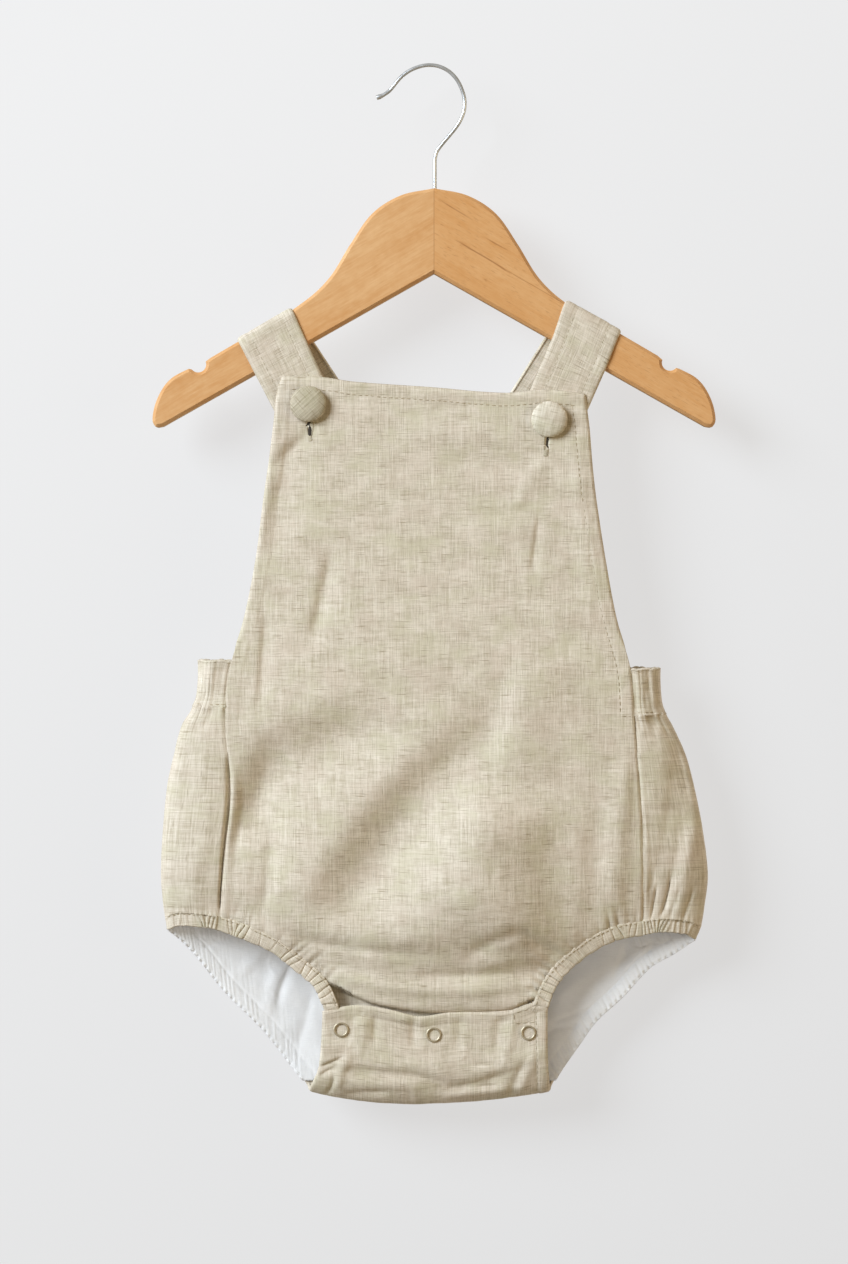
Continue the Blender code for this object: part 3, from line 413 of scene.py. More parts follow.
def crumple(x, z, seed, size=9.0):
    """The slight unevenness of washed linen, in mm: soft lumps and a few faint crease lines."""
    lumps = 0.20 * noise(x / size / 1.6, z / size, seed)
    lumps += 0.09 * noise(x / size * 2.1, z / size * 2.3, seed + 1)
    strength = noise(x / 17, z / 13, seed + 2)
    creases = np.maximum(1 - 9 * np.abs(noise(x / 21 + z / 40, z / 17 - x / 60, seed + 3)), 0) ** 2
    return lumps + 0.22 * creases * np.clip(strength + 0.2, 0, 1)


def fold_height(folds, x, z):
    total = np.zeros_like(x)
    for x1, z1, x2, z2, bow, height, left_width, right_width in folds:
        length = math.hypot(x2 - x1, z2 - z1)
        ux, uz = (x2 - x1) / length, (z2 - z1) / length
        s = ((x - x1) * ux + (z - z1) * uz) / length
        across = (x - x1) * uz - (z - z1) * ux - bow * 4 * s * (1 - s)
        fade = ease((s + 0.25) / 0.5) * ease((1.25 - s) / 0.5)
        total += height * fade * peak(across, np.where(across < 0, left_width, right_width))
    return total


def even_puckers(length, gap, seed):
    """Uneven (mm, strength) of puckers along `length` mm, about `gap` mm apart."""
    rng = np.random.default_rng(seed)
    places, here = [], gap * 0.6
    while here < length - gap * 0.4:
        places.append((here, rng.uniform(0.45, 1.0)))
        here += gap * rng.uniform(0.6, 1.5)
    return places


def puckers(s, places, width):
    """0 to 1: sharp creases at these (mm along s, strength)."""
    total = np.zeros(np.broadcast(s, width).shape)
    for place, strength in places:
        total = np.maximum(total, strength * peak(s - place, width))
    return total


# ---- the garment's form, as in its solids -----------------
COLUMN = {"left": 1, "right": 2}  # of each side in FRONT and SIDES
LEG_LINES = {
    side: {
        part: np.array(LEGS[side]["side"] + tuple(map(tuple, smooth_line(LEGS[side][part], 30))))
        for part in PULL_ENDS
    }
    for side in LEGS
}


def on_side(x, side):
    return (x < 0) == (side == "left")


def leg_distance(x, z, part):
    distance = np.zeros_like(x)
    for side, lines in LEG_LINES.items():
        edge = lines[part]
        found = np.hypot(x[..., None] - edge[:, 0], z[..., None] - edge[:, 1]).min(axis=-1)
        distance = np.where(on_side(x, side), found, distance)
    return distance


def leg_pull(x, z, part):
    """What share of its fullness the cloth keeps near the leg openings, where the elastic draws it in."""
    near = 1 - ease(leg_distance(x, z, part) / PULL_REACH)
    return blend(1.0, LEG_PULL, near * ease((z - PULL_ENDS[part]) / 34))


def front_y(x, z):
    left, right = row_at(FRONT, z, 1), row_at(FRONT, z, 2)
    t = np.clip((x - left) / (right - left), 0, 1)
    across = 1 - np.abs(2 * t - 1) ** 2.5
    return -row_at(FRONT, z, 3) * blend(row_at(FRONT, z, 4), 1.0, across) * leg_pull(x, z, "front")


def side_y(x, z, side):
    seam, hip = row_at(FRONT, z, COLUMN[side]), row_at(SIDES, z, COLUMN[side])
    share = np.clip((x - hip) / (seam - hip), 0, 1)
    power = SIDE_FULLNESS[side]
    full = (1 - (1 - share) ** power) ** (1 / power)
    return -row_at(FRONT, z, 3) * row_at(FRONT, z, 4) * full * leg_pull(x, z, "back")


def back_y(x, z):
    left, right = row_at(SIDES, z, 1), row_at(SIDES, z, 2)
    t = np.clip((x - left) / (right - left), 0, 1)
    full = np.sqrt(np.maximum(1 - np.abs(2 * t - 1) ** 3, 0))
    return row_at(SIDES, z, 3) * full * leg_pull(x, z, "back")


def seam_dip(x, z, gap):
    """How far the cloth sinks in at this distance from a side seam. The left seam gapes lower down."""
    gaping = ease((-366 - z) / 12) * ease((z + 452) / 6)
    narrowing = ease((-385 - z) / 60)
    depth = np.where(x < 0, 0.3 + 2.8 * gaping, 0.8) * ease((-318 - z) / 8)
    width = np.where(x < 0, 0.7 + 0.3 * gaping * (1 - 0.8 * narrowing), 0.8)
    return depth * peak(gap, width, 4)


def leg_line(side, part, count, inset=0.0):
    """Points (x, z) along a leg opening's edge, moved inset mm into the panel."""
    inward = 1.0 if side == "left" else -1.0
    edge = smooth_line(LEGS[side][part], count, 0.5 if part == "front" else 1.0)
    tangents = np.gradient(edge, axis=0)
    normals = np.stack([-tangents[:, 1], tangents[:, 0]], axis=1)
    normals /= np.linalg.norm(normals, axis=1, keepdims=True)
    normals *= np.where(normals[:, 0] * inward + normals[:, 1] > 0, 1.0, -1.0)[:, None]
    share = np.arange(count + 1)[:, None] / count
    start, end = np.array([0.0, 1.0]), np.array([inward, 0.0])
    if part == "back":
        hip = row_at(SIDES, edge[0][1] + inset, COLUMN[side])
        start = np.array([(hip - edge[0][0]) / max(inset, 1.0), 1.0])
    normals = blend(start, normals, ease(share / 0.2))
    normals = blend(normals, end, ease((share - 0.8) / 0.2))
    return edge + inset * normals / np.linalg.norm(normals, axis=1, keepdims=True)


def side_share(step, count):
    """Steps from the side seam to the hip, closer together at both ends."""
    t = step / count
    return blend((1 - np.cos(math.pi * t)) / 2, 1 - (1 - t) ** 2, 0.3)


def side_x(side, share, z):
    return blend(row_at(FRONT, z, COLUMN[side]), row_at(SIDES, z, COLUMN[side]), share)


def side_line(side, count, inset=0.0):
    """The leg opening's edge from the side seam to the hip, moved inset mm up."""
    line = LEGS[side]["side"]
    shares = side_share(np.arange(count + 1), count)
    z = height_at(sorted(line), blend(line[0][0], line[-1][0], shares)) + inset
    return np.stack([side_x(side, shares, z), z], axis=1)


def lower_edge(part, leg_columns, columns):
    """A panel's lower edge, under both leg casings and straight across between them."""
    left, right = (leg_line(side, part, leg_columns, SEWN_IN) for side in LEGS)
    middle = np.linspace(left[-1], right[-1], columns - 2 * leg_columns + 1)
    return np.concatenate([left, middle[1:-1], right[::-1]])


def normals_of(grid):
    down, along = np.gradient(grid, axis=0), np.gradient(grid, axis=1)
    found = np.cross(along, down)
    return found / (np.linalg.norm(found, axis=2, keepdims=True) + 1e-9)


# ---- materials --------------------------------------------
class Value:
    """A node's output, which can be added to, taken from or multiplied by a number or another output."""

    def __init__(self, tree, socket):
        self.tree = tree
        self.socket = socket

    def math(self, operation, other=0.0):
        return node(self.tree, "Math", {0: self, 1: other}, operation=operation)

    def __add__(self, other):
        return self.math("ADD", other)

    def __sub__(self, other):
        return self.math("SUBTRACT", other)

    def __mul__(self, other):
        return self.math("MULTIPLY", other)


def fill(made, inputs):
    """Set a node's inputs to numbers, colours or other nodes' outputs."""
    for key, value in inputs.items():
        if isinstance(value, Value):
            value.tree.links.new(value.socket, made.inputs[key])
        else:
            made.inputs[key].default_value = value


def node(tree, kind, inputs=None, output=0, **settings):
    made = tree.nodes.new("ShaderNode" + kind)
    for key, value in settings.items():
        setattr(made, key, value)
    fill(made, inputs or {})
    return Value(tree, made.outputs[output])


def new_material(name):
    material = bpy.data.materials.new(name)
    material.use_nodes = True
    return material, material.node_tree


def shaded(material, inputs, height=None, strength=0.5, depth=0.3):
    """The material with these inputs of its shader, and a bump up to `depth` mm deep."""
    tree = material.node_tree
    shader = tree.nodes["Principled BSDF"]
    fill(shader, inputs)
    if height:
        bump = {"Height": height, "Strength": strength, "Distance": depth * MM}
        fill(shader, {"Normal": node(tree, "Bump", bump)})
    return material


def srgb(r, g, b):
    """The linear colour of an sRGB one, 0 to 255."""
    return [((c / 255 + 0.055) / 1.055) ** 2.4 for c in (r, g, b)] + [1.0]


def times(colour, r, g, b):
    """A linear colour multiplied channel by channel, and 1 at most."""
    return [min(channel * factor, 1.0) for channel, factor in zip(colour, (r, g, b, 1.0))]


def mixed(factor, a, b):
    return node(factor.tree, "Mix", {0: factor, 6: a, 7: b}, 2, data_type="RGBA")


def ramp(value, low, high, to_low=0.0, to_high=1.0):
    return node(value.tree, "MapRange", {0: value, 1: low, 2: high, 3: to_low, 4: to_high})


def cloud(place, scale, detail, rough=0.5, distortion=0.0, dimensions="3D"):
    inputs = {"Vector": place, "Scale": scale, "Detail": detail, "Roughness": rough, "Distortion": distortion}
    return node(place.tree, "TexNoise", inputs, noise_dimensions=dimensions)


def grains(flat, x_mm, y_mm, detail=2.0, rough=0.5, shift=0.0):
    """Noise, 0 to 1, whose grains are x_mm by y_mm on the flat cloth, where 1 unit is 100 mm."""
    scale = (100 / x_mm, 100 / y_mm, 1)
    place = node(flat.tree, "Mapping", {"Vector": flat, "Location": (shift, shift * 0.7, 0), "Scale": scale})
    return cloud(place, 1.0, detail, rough, dimensions="2D")


def linen_material(name, tint=(211, 200, 182), spread=1.0, turn=0.0, ribs=1.0):
    """Plain-woven slubby linen: pale and dark threads both ways, with short brown slubs."""
    material, tree = new_material(name)
    flat = node(tree, "UVMap", uv_map="weave")
    if turn:
        flat = node(tree, "Mapping", {"Vector": flat, "Rotation": (0, 0, math.radians(turn))})
    warp = grains(flat, 0.75, 30, 2, 0.65)
    weft = grains(flat, 22, 0.75, 2, 0.65, 3.1)
    fine_warp = grains(flat, 0.45, 5, 1, shift=7.7)
    fine_weft = grains(flat, 5, 0.45, 1, shift=9.3)
    patch = grains(flat, 14, 9, shift=5.2)
    blotch = grains(flat, 5, 4, 1, shift=27)
    tone = (warp - 0.5) * ribs
    weights = {weft: 0.85 / ribs, fine_warp: 0.5, fine_weft: 0.5, patch: 0.60, blotch: 0.28}
    for value, weight in weights.items():
        tone += (value - 0.5) * weight
    tint = srgb(*tint)
    colour = mixed(tone * spread + 0.5, times(tint, 0.76, 0.74, 0.68), times(tint, 1.24, 1.26, 1.32))
    hue = grains(flat, 24, 18, 3, 0.6, 21)
    slub_weft = ramp(grains(flat, 11, 0.42, 0, shift=12), 0.76, 0.84) * 0.6
    slub_warp = ramp(grains(flat, 0.42, 9, 0, shift=15), 0.79, 0.86) * 0.45
    pale_warp = ramp(grains(flat, 0.5, 24, 0, shift=18), 0.68, 0.80) * 0.5
    for share, factors in (
        (ramp(hue, 0.50, 0.70, 0.0, 0.4), (1.04, 0.98, 1.01)),
        (ramp(hue, 0.50, 0.30, 0.0, 0.6), (0.94, 0.98, 0.88)),
        (pale_warp, (1.28, 1.31, 1.38)),
        (slub_weft, (0.45, 0.38, 0.29)),
        (slub_warp, (0.48, 0.43, 0.36)),
    ):
        colour = mixed(share, colour, times(tint, *factors))
    height = fine_warp * 0.7 + fine_weft * 0.7 + weft * 0.7 + warp * 0.5 + patch * 1.5
    return shaded(material, {"Base Color": colour, "Roughness": 0.92, "Specular IOR Level": 0.2}, height)


def lining_material():
    """White cotton lawn with a faint weave."""
    material, tree = new_material("white_cotton")
    flat = node(tree, "UVMap", uv_map="weave")
    weave = grains(flat, 0.5, 5, 1, 0.55) * 0.4 + grains(flat, 5, 0.5, 1, shift=4) * 0.6
    patch = grains(flat, 12, 9, shift=8)
    tone = weave * 0.6 + patch * 0.4
    colour = mixed(tone, srgb(200, 199, 199), srgb(220, 219, 218))
    inputs = {"Base Color": colour, "Roughness": 0.9, "Specular IOR Level": 0.25}
    return shaded(material, inputs, tone + patch, depth=0.4)


def thread_material(name, *tint):
    """Twisted sewing thread; also the dark painted shade laid behind the buttonhole slits."""
    material, tree = new_material(name)
    twist = cloud(node(tree, "TexCoord", output="Object"), 2600, 1)
    tint = srgb(*tint)
    colour = mixed(twist, times(tint, 0.7, 0.68, 0.64), times(tint, 1.2, 1.2, 1.2))
    return shaded(material, {"Base Color": colour, "Roughness": 0.8})


def wood_material():
    """Orange-brown varnished hardwood. The two halves are glued at the middle, and their grain differs."""
    material, tree = new_material("varnished_wood")
    place = node(tree, "TexCoord", output="Object")
    x, y, z = (node(tree, "SeparateXYZ", {0: place}, k) for k in range(3))
    right = ramp(x, -0.0001, 0.0001)
    from_middle = x.math("ABSOLUTE")
    across = z + from_middle * ARM_SLOPE
    along = from_middle - z * 0.55

    def wood_place(lengthways, crossways, through):
        sideways = across * crossways + right * 3.7
        return node(tree, "CombineXYZ", {0: along * lengthways, 1: sideways, 2: y * through})

    grain_place = wood_place(34, 400, 200)
    grain = cloud(grain_place, 2.2, 4, 0.6)
    bands = cloud(wood_place(7, 42, 40), 1.4, 2, distortion=0.6)
    pores = ramp(cloud(grain_place, 5, 1), 0.62, 0.72)
    tone = grain * 0.45 + bands * 0.45 + cloud(place, 260, 3) * 0.2
    brown = srgb(150, 92, 42)
    colour = mixed(ramp(tone, 0.38, 0.74), srgb(210, 153, 95), srgb(232, 187, 136))
    colour = mixed(right * 0.30, colour, srgb(214, 152, 86))
    colour = mixed(pores * (right * 0.30 + 0.10), colour, brown)
    wave = (bands - 0.5) * 0.006
    for height, start, end, half_width, strength in GRAIN_LINES:
        off = (across - height * MM + wave).math("ABSOLUTE")
        line = ramp(off, 0.0, half_width * MM, strength, 0.0)
        line = line * ramp(x, start * MM, (start + 5) * MM) * ramp(x, (end - 5) * MM, end * MM, 1.0, 0.0)
        colour = mixed(line, colour, brown)
    colour = mixed(ramp(from_middle, 0.0001, 0.0004, 0.35, 0.0), colour, srgb(140, 84, 40))
    inputs = {"Base Color": colour, "Roughness": 0.42, "Coat Weight": 0.25, "Coat Roughness": 0.28}
    return shaded(material, inputs, grain, 0.12, 0.4)


def metal_material(name, tint, roughness, share):
    material, tree = new_material(name)
    haze = cloud(node(tree, "TexCoord", output="Object"), 380, 3)
    colour = mixed(haze, times(srgb(*tint), 0.9, 0.9, 0.9), srgb(*tint))
    rough = ramp(haze, 0.3, 0.7, roughness * 0.7, roughness * 1.3)
    return shaded(material, {"Base Color": colour, "Roughness": rough, "Metallic": share})


linen = linen_material("linen", spread=1.15)
cotton = lining_material()
thread = thread_material("linen_thread", 196, 186, 164)
brown_thread = thread_material("brown_thread", 176, 160, 132)
# The dark pills behind the buttonhole slits are painted shade, not thread: the slits would show only shadowed
# cloth.
slit_shade_paint = thread_material("slit_shade", 62, 54, 46)
wood = wood_material()
chrome = metal_material("hook_chrome", (222, 226, 232), 0.30, 0.68)
snap_metal = metal_material("snap_metal", (204, 192, 168), 0.40, 0.6)


# ---- making objects ---------------------------------------
pieces = bpy.data.collections.new("romper")
bpy.context.scene.collection.children.link(pieces)
trees = {}  # surfaces that stitches and small pieces are laid on


def fitted(name, data, replaces=None):
    """An object that rides on the body, in the place of a solid."""
    thing = bpy.data.objects.new(name, data)
    pieces.objects.link(thing)
    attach(thing, "root")
    if replaces:
        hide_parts(replaces)
    return thing


def mesh_of(name, points, faces, material):
    mesh = bpy.data.meshes.new(name)
    mesh.from_pydata((points * MM).tolist(), [], faces)
    mesh.shade_smooth()
    mesh.materials.append(material)
    return mesh


def flat_places(grid):
    """Lengths along the rows and down the columns, as on the cloth laid flat."""
    along = np.stack([line_lengths(row) for row in grid])
    down = np.stack([line_lengths(column) for column in grid.swapaxes(0, 1)], axis=1)
    return stacked(along.mean(0), -down)


def cloth(name, grid, thickness, replaces, weave=None, holes=(), material=linen):
    """A wall of cloth on this grid of points in mm. weave gives each point's place on the flat cloth."""
    rows, columns = grid.shape[:2]
    index = np.arange(rows * columns).reshape(rows, columns)
    faces = np.stack([index[:-1, :-1], index[1:, :-1], index[1:, 1:], index[:-1, 1:]], axis=-1)
    keep = np.ones(faces.shape[:2], bool)
    for hole in holes:
        keep[hole] = False
    faces = faces[keep]
    points = grid.reshape(-1, 3)
    mesh = mesh_of(name, points, faces.tolist(), material)
    weave = flat_places(grid) if weave is None else weave
    layer = mesh.uv_layers.new(name="weave")
    layer.data.foreach_set("uv", (weave.reshape(-1, 2)[faces.reshape(-1)] / 100).astype(np.float32).ravel())
    thing = fitted(name, mesh, replaces)
    wall = thing.modifiers.new("wall", "SOLIDIFY")
    wall.thickness = thickness * MM
    wall.offset = 0.0
    trees[name] = BVHTree.FromPolygons([Vector(p) for p in points], faces.tolist())
    return thing


def joined(name, parts, material=None):
    """One object from lists of (points, faces), in mm."""
    points, faces = [], []
    for part_points, part_faces in parts:
        faces += [[len(points) + i for i in face] for face in part_faces]
        points += list(part_points)
    fitted(name, mesh_of(name, np.array(points), faces, material or thread))


def pill(start, end, normal, radius, squash=0.6):
    """A short flattened thread from start to end: its points and faces."""
    start, end, normal = (np.array(v, float) for v in (start, end, normal))
    along = end - start
    length = np.linalg.norm(along) + 1e-9
    along /= length
    side = np.cross(along, normal)
    side /= np.linalg.norm(side) + 1e-9
    up = np.cross(side, along)
    points, faces = [start], []
    for share, wide in ((0.12, 0.75), (0.5, 1.0), (0.88, 0.75)):
        centre = start + along * length * share + up * radius * 0.5 * math.sin(math.pi * share)
        for a in 2 * math.pi * np.arange(5) / 5:
            points.append(centre + wide * radius * (side * math.cos(a) + up * squash * math.sin(a)))
    points.append(end)
    for k in range(5):
        n = (k + 1) % 5
        faces.append([0, 1 + n, 1 + k])
        faces += [[a + k, a + n, a + 5 + n, a + 5 + k] for a in (1, 6)]
        faces.append([11 + k, 11 + n, 16])
    return points, faces


def laid_on(surface, x, z, facing=-1):
    """The point and normal of a surface in front of (x, z), or behind it where facing is 1."""
    hit, normal, _, _ = trees[surface].ray_cast(Vector((x, 400.0 * facing, z)), Vector((0, -facing, 0)))
    if hit is None:
        return None, None
    return np.array(hit), np.array(-normal if normal.y * facing < 0 else normal)


def seam_on(surface, line, lift, stitch=2.3, radius=0.24, facing=-1, seed=5):
    """Stitches along a line of (x, z) points, laid on a surface and lifted off it."""
    gap = 0.9
    line = np.array(line, float)
    count = max(int(line_lengths(line)[-1] / (stitch + gap)), 1)
    fine = even_line(line, count * 10)
    rng = np.random.default_rng(seed)
    made = []
    for k in range(count):
        jitter = rng.uniform(-0.12, 0.12, 2)
        start, up = laid_on(surface, *(fine[10 * k] + jitter), facing)
        end, end_up = laid_on(surface, *(fine[10 * k + round(10 * stitch / (stitch + gap))] + jitter), facing)
        if start is not None and end is not None and np.linalg.norm(end - start) < 3 * stitch:
            made.append(pill(start + up * lift, end + end_up * lift, up, radius))
    return made


# ---- front panel ------------------------------------------
FRONT_COLUMNS = 216
FRONT_LEG_COLUMNS = 78
LEG_PUCKERS = {
    # mm along the leg opening from the side seam, strength
    "left": {
        "front": (
            (4.5, 0.8), (7, 1), (9.5, 0.7), (12.5, 1), (16, 0.8), (24, 0.3), (33, 0.3), (41, 0.8),
            (44.5, 1), (48, 0.6), (53, 1), (57, 0.7), (61, 1), (65.5, 0.8), (70, 1), (74, 0.7),
            (79, 0.8),
        ),
        "side": ((3, 0.9), (5, 1), (7.4, 0.9), (9.8, 1), (12, 0.8), (19, 0.5), (22.5, 0.5), (26.5, 0.6)),
    },
    "right": {
        "front": (
            (3, 0.4), (6.5, 0.4), (12.5, 1), (17.3, 1), (23, 0.35), (31, 0.3), (39, 0.4), (46, 0.6),
            (50.5, 0.5), (55, 0.9), (59.5, 1), (63.5, 0.8), (68, 1), (72.5, 0.8), (77, 0.7),
        ),
        "side": (
            (1.2, 0.9), (3, 1), (4.8, 0.8), (6.6, 1), (8.4, 1), (10.2, 0.8), (12, 1), (14.8, 0.6),
            (17.6, 0.5), (20.5, 0.6), (24, 0.5), (27, 0.5),
        ),
    },
}
WAIST_PUCKERS = {
    # mm in from the side seam, strength
    "left": ((2.2, 0.6), (9.6, 0.9), (11.4, 1), (13.3, 0.9), (15.2, 0.7)),
    "right": ((3.4, 0.8), (5.2, 0.5), (11.2, 1), (14.6, 0.8)),
}


def cut_buttonhole(x, y, z, button_x, button_z, lean):
    """Open a slit in the panel's columns below a button. Gives the faces that it leaves out."""
    turn = math.tan(math.radians(lean))
    middle_z = z[:, FRONT_COLUMNS // 2]
    rows = np.where((middle_z < button_z + 6) & (middle_z > button_z - 21))[0]
    middle = rows[len(rows) // 2]
    column = int(np.abs(x[middle] - button_x - turn * (button_z - z[middle])).argmin()) - 1
    near = peak(np.arange(FRONT_COLUMNS + 1) - column - 0.5, 3)
    holes = []
    for row in rows:
        down = button_z - z[row, column]
        if -2 < down < 16.4:
            slot_x = button_x + turn * down
            slit = 1.4 * ease((18.5 - down) / 7.5)
            x[row] += (slot_x - (x[row, column] + x[row, column + 1]) / 2) * near
            x[row, column], x[row, column + 1] = slot_x - slit, slot_x + slit
            y[row, column : column + 2] += 0.25
            holes.append((row, column))
    return holes


def front_panel():
    bottom = lower_edge("front", FRONT_LEG_COLUMNS, FRONT_COLUMNS)
    i = np.arange(FRONT_COLUMNS)
    edges = 1 - 0.6 * peak(i, 5) - 0.6 * peak(FRONT_COLUMNS - 1 - i, 5)
    across = np.concatenate([[0], np.cumsum(edges)]) / edges.sum()
    downs = spaced((0, 0.006, 4), (0.006, 0.5, 80), (0.5, 0.86, 78), (0.86, 1.0, 48))
    top = height_at(BIB_TOP, blend(BIB_TOP[0][0], BIB_TOP[-1][0], across))
    z = blend(top, bottom[:, 1], downs)
    low = (bottom[:, 0] - bottom[0, 0]) / (bottom[-1, 0] - bottom[0, 0])
    left_x, right_x = row_at(FRONT, z, 1), row_at(FRONT, z, 2)
    x = blend(left_x, right_x, blend(across, low, downs**4))
    y = front_y(x, z)
    side_gap = np.minimum(x - left_x, right_x - x)
    from_top = top - z
    leg_gap = leg_distance(x, z, "front")
    below = ease((-306 - z) / 20)
    free = blend(0.45 + 0.55 * ease(side_gap / 8), 0.15 + 0.85 * ease(side_gap / 7), below)
    calm = ease((leg_gap - 6) / 9) * ease((z + 516) / 12)
    y -= 1.25 * fold_height(FRONT_FOLDS, x, z) * free * calm + crumple(x, z, 31) * calm
    # Creases that run up from the leg casings.
    for side in LEGS:
        line = leg_line(side, "front", 160, SEWN_IN)
        gap, s = near_line(line, x, z)
        slant = s + 0.3 * wander(s / 9, 23) * gap
        reach = 5 + 10 * (0.5 + 0.5 * wander(s / 4, 21))
        fade = peak(gap, reach) * ease((line_lengths(line)[-1] - s) / 10) * on_side(x, side)
        creases = puckers(slant, LEG_PUCKERS[side]["front"], 0.75 + 0.12 * gap)
        y += (1.6 * creases - 0.5 * ease(gap / 3)) * fade
    inside = ease((height_at(BELLY_EDGE, x) - z) / 1.8) * ease((leg_gap - 3) / 5)
    recess = blend(-2.8, -8.4, ease((x + 48) / 28)) + 0.5 * crumple(x, z, 37)
    y = blend(y, np.maximum(y, recess), inside)
    # The hems at the top and along both free sides lie double, and their seams sink in.
    bib = z > -347.5
    y -= 0.30 * np.maximum(1 - ease((from_top - 5.8) / 1.2), (1 - ease((side_gap - 6.2) / 1.2)) * bib)
    seam = peak(from_top - BIB_SEAM, 0.8) + 0.55 * peak(side_gap - 6.9, 0.7) * bib * (x > 0)
    y += 0.38 * seam * (0.8 + 0.5 * noise(x / 1.9, z / 1.9, 33))
    y -= 0.14 * noise(x / 2.1, z / 7, 35) * peak(from_top - 6.4, 3.4)
    y -= 0.12 * noise(x / 7, z / 2.3, 36) * peak(side_gap - 5, 4) * (1 - below)
    y += rolled(np.minimum(side_gap + 9 * below, from_top), 1.5)
    y += seam_dip(x, z, side_gap)
    holes = []
    for button_x, button_z, lean, *_ in BUTTONS.values():
        holes += cut_buttonhole(x, y, z, button_x, button_z, lean)
    piece = cloth("romper_front", stacked(x, y, z), 1.3, "front_panel", stacked(x, z), holes)


# ---- back panel and waistband -----------------------------
SIDE_COLUMNS = 44
BACK_COLUMNS = 160
BACK_LEG_COLUMNS = 56
BACK = slice(SIDE_COLUMNS, -SIDE_COLUMNS)  # the back's columns, between those of both hips


def back_share():
    even = np.arange(BACK_COLUMNS + 1) / BACK_COLUMNS
    return blend((1 - np.cos(math.pi * even)) / 2, even, 0.35)


def waist_z():
    """The waistband's top edge at each column from the left side seam round the back to the right one."""
    left_seam, left_hip, middle, right_hip, right_seam = WAIST_TOP
    side = side_share(np.arange(SIDE_COLUMNS), SIDE_COLUMNS)
    across = 2 * back_share()
    back = np.where(across < 1, blend(left_hip, middle, across), blend(middle, right_hip, across - 1))
    return np.concatenate([blend(left_seam, left_hip, side), back, blend(right_seam, right_hip, side)[::-1]])


def round_grid(z, lows=None, downs=None):
    """x and y of rows from the left side seam round the back to the right one."""
    n = SIDE_COLUMNS
    x, y = np.zeros_like(z), np.zeros_like(z)
    for side, part in (("left", np.s_[:, :n]), ("right", np.s_[:, : -n - 1 : -1])):
        x[part] = side_x(side, side_share(np.arange(n), n), z[part])
        y[part] = side_y(x[part], z[part], side)
    back_z = z[:, BACK]
    share = back_share() if lows is None else blend(back_share(), lows, downs**2)
    x[:, BACK] = blend(row_at(SIDES, back_z, 1), row_at(SIDES, back_z, 2), share)
    y[:, BACK] = back_y(x[:, BACK], back_z)
    return x, y


def hip_calm(count):
    """How much relief each column keeps: less where a hip turns into the back."""
    n = np.arange(count)
    gap = np.minimum(np.abs(n - SIDE_COLUMNS), np.abs(count - 1 - SIDE_COLUMNS - n))
    return 0.30 + 0.70 * ease(gap / 9)


def waist_puckers(row, width):
    """Puckers along a row of points from the left side seam round the back to the right one."""
    n = SIDE_COLUMNS
    width = np.broadcast_to(width, (len(width), len(row)))
    total = np.zeros(width.shape)
    length = line_lengths(row[BACK])
    total[:, BACK] = puckers(length, even_puckers(length[-1], 5.0, 51), width[:, BACK])
    for side, part, seam in (("left", slice(0, n + 1), 0), ("right", slice(-n - 1, None), -1)):
        found = puckers(np.abs(row[part, 0] - row[seam, 0]), WAIST_PUCKERS[side], width[:, part])
        total[:, part] = np.maximum(total[:, part], found)
    return total


def leg_elastic(length):
    """The puckers along the back of a leg opening, which is `length` mm long."""
    return even_puckers(length, 3.4, 43)


def back_panel():
    side_z = {side: side_line(side, SIDE_COLUMNS, SEWN_IN)[:-1, 1] for side in LEGS}
    bottom = lower_edge("back", BACK_LEG_COLUMNS, BACK_COLUMNS)
    left_x, right_x = (row_at(SIDES, bottom[:, 1], column) for column in COLUMN.values())
    lows = (bottom[:, 0] - left_x) / (right_x - left_x)
    low_z = np.concatenate([side_z["left"], bottom[:, 1], side_z["right"][::-1]])
    downs = spaced((0, 0.25, 34), (0.25, 0.8, 52), (0.8, 1, 34))
    z = blend(waist_z() - WAIST_WIDTH + 0.6, low_z, downs)
    x, y = round_grid(z, lows, downs)
    back = np.zeros(z.shape[1], bool)
    back[BACK] = True
    calm = 1 - ease((downs - 0.88) / 0.12)
    seam = np.where(x < 0, row_at(FRONT, z, 1), row_at(FRONT, z, 2))
    hip = np.where(x < 0, row_at(SIDES, z, 1), row_at(SIDES, z, 2))
    side_calm = ease(np.minimum(np.abs(x - seam), np.abs(hip - x)) / 4.5)
    side_calm *= ease((leg_distance(x, z, "back") - 5) / 8)
    y += np.where(back, fold_height(BACK_FOLDS, x, z) * calm, -fold_height(HIP_FOLDS, x, z) * side_calm)
    grid = stacked(x, y, z)
    out = -normals_of(grid)
    # Gathers under the waistband.
    s = line_lengths(grid[0])
    down_mm = z[:1] - z
    under = waist_puckers(grid[0], 0.9 + 0.10 * down_mm)
    reach = 9 + 9 * (0.5 + 0.5 * wander(s / 5, 41))
    amount = (0.3 + 0.7 * ease(down_mm / 4) - 1.3 * under) * peak(down_mm, reach)
    # Gathers along the leg casings.
    leg_gap = z - z[-1:]
    over = np.zeros_like(z)
    for side in LEGS:
        line = leg_line(side, "back", 160, SEWN_IN)
        gap, along = near_line(line, x, z)
        behind = puckers(along, leg_elastic(line_lengths(line)[-1]), 0.7 + 0.10 * gap)
        beside = puckers(np.abs(x - seam), LEG_PUCKERS[side]["side"], 0.8 + 0.10 * leg_gap)
        mine = on_side(x, side)
        over = np.where(mine, np.where(back, behind, beside), over)
        leg_gap = np.where(mine & back, gap, leg_gap)
    reach = np.where(back, 9.0, 6.0) * (0.7 + 0.4 * noise(x / 5, z / 5, 44))
    amount += (0.4 * ease(leg_gap / 3) - 0.9 * over) * peak(leg_gap, reach)
    amount += crumple(s, z, 45) * calm
    grid += out * (amount * hip_calm(z.shape[1]))[:, :, None]
    grid[:, :, 1] += seam_dip(x, z, np.minimum(s, s[-1] - s))
    piece = cloth("romper_back", grid, 1.2, "back_panel", stacked(s, z))


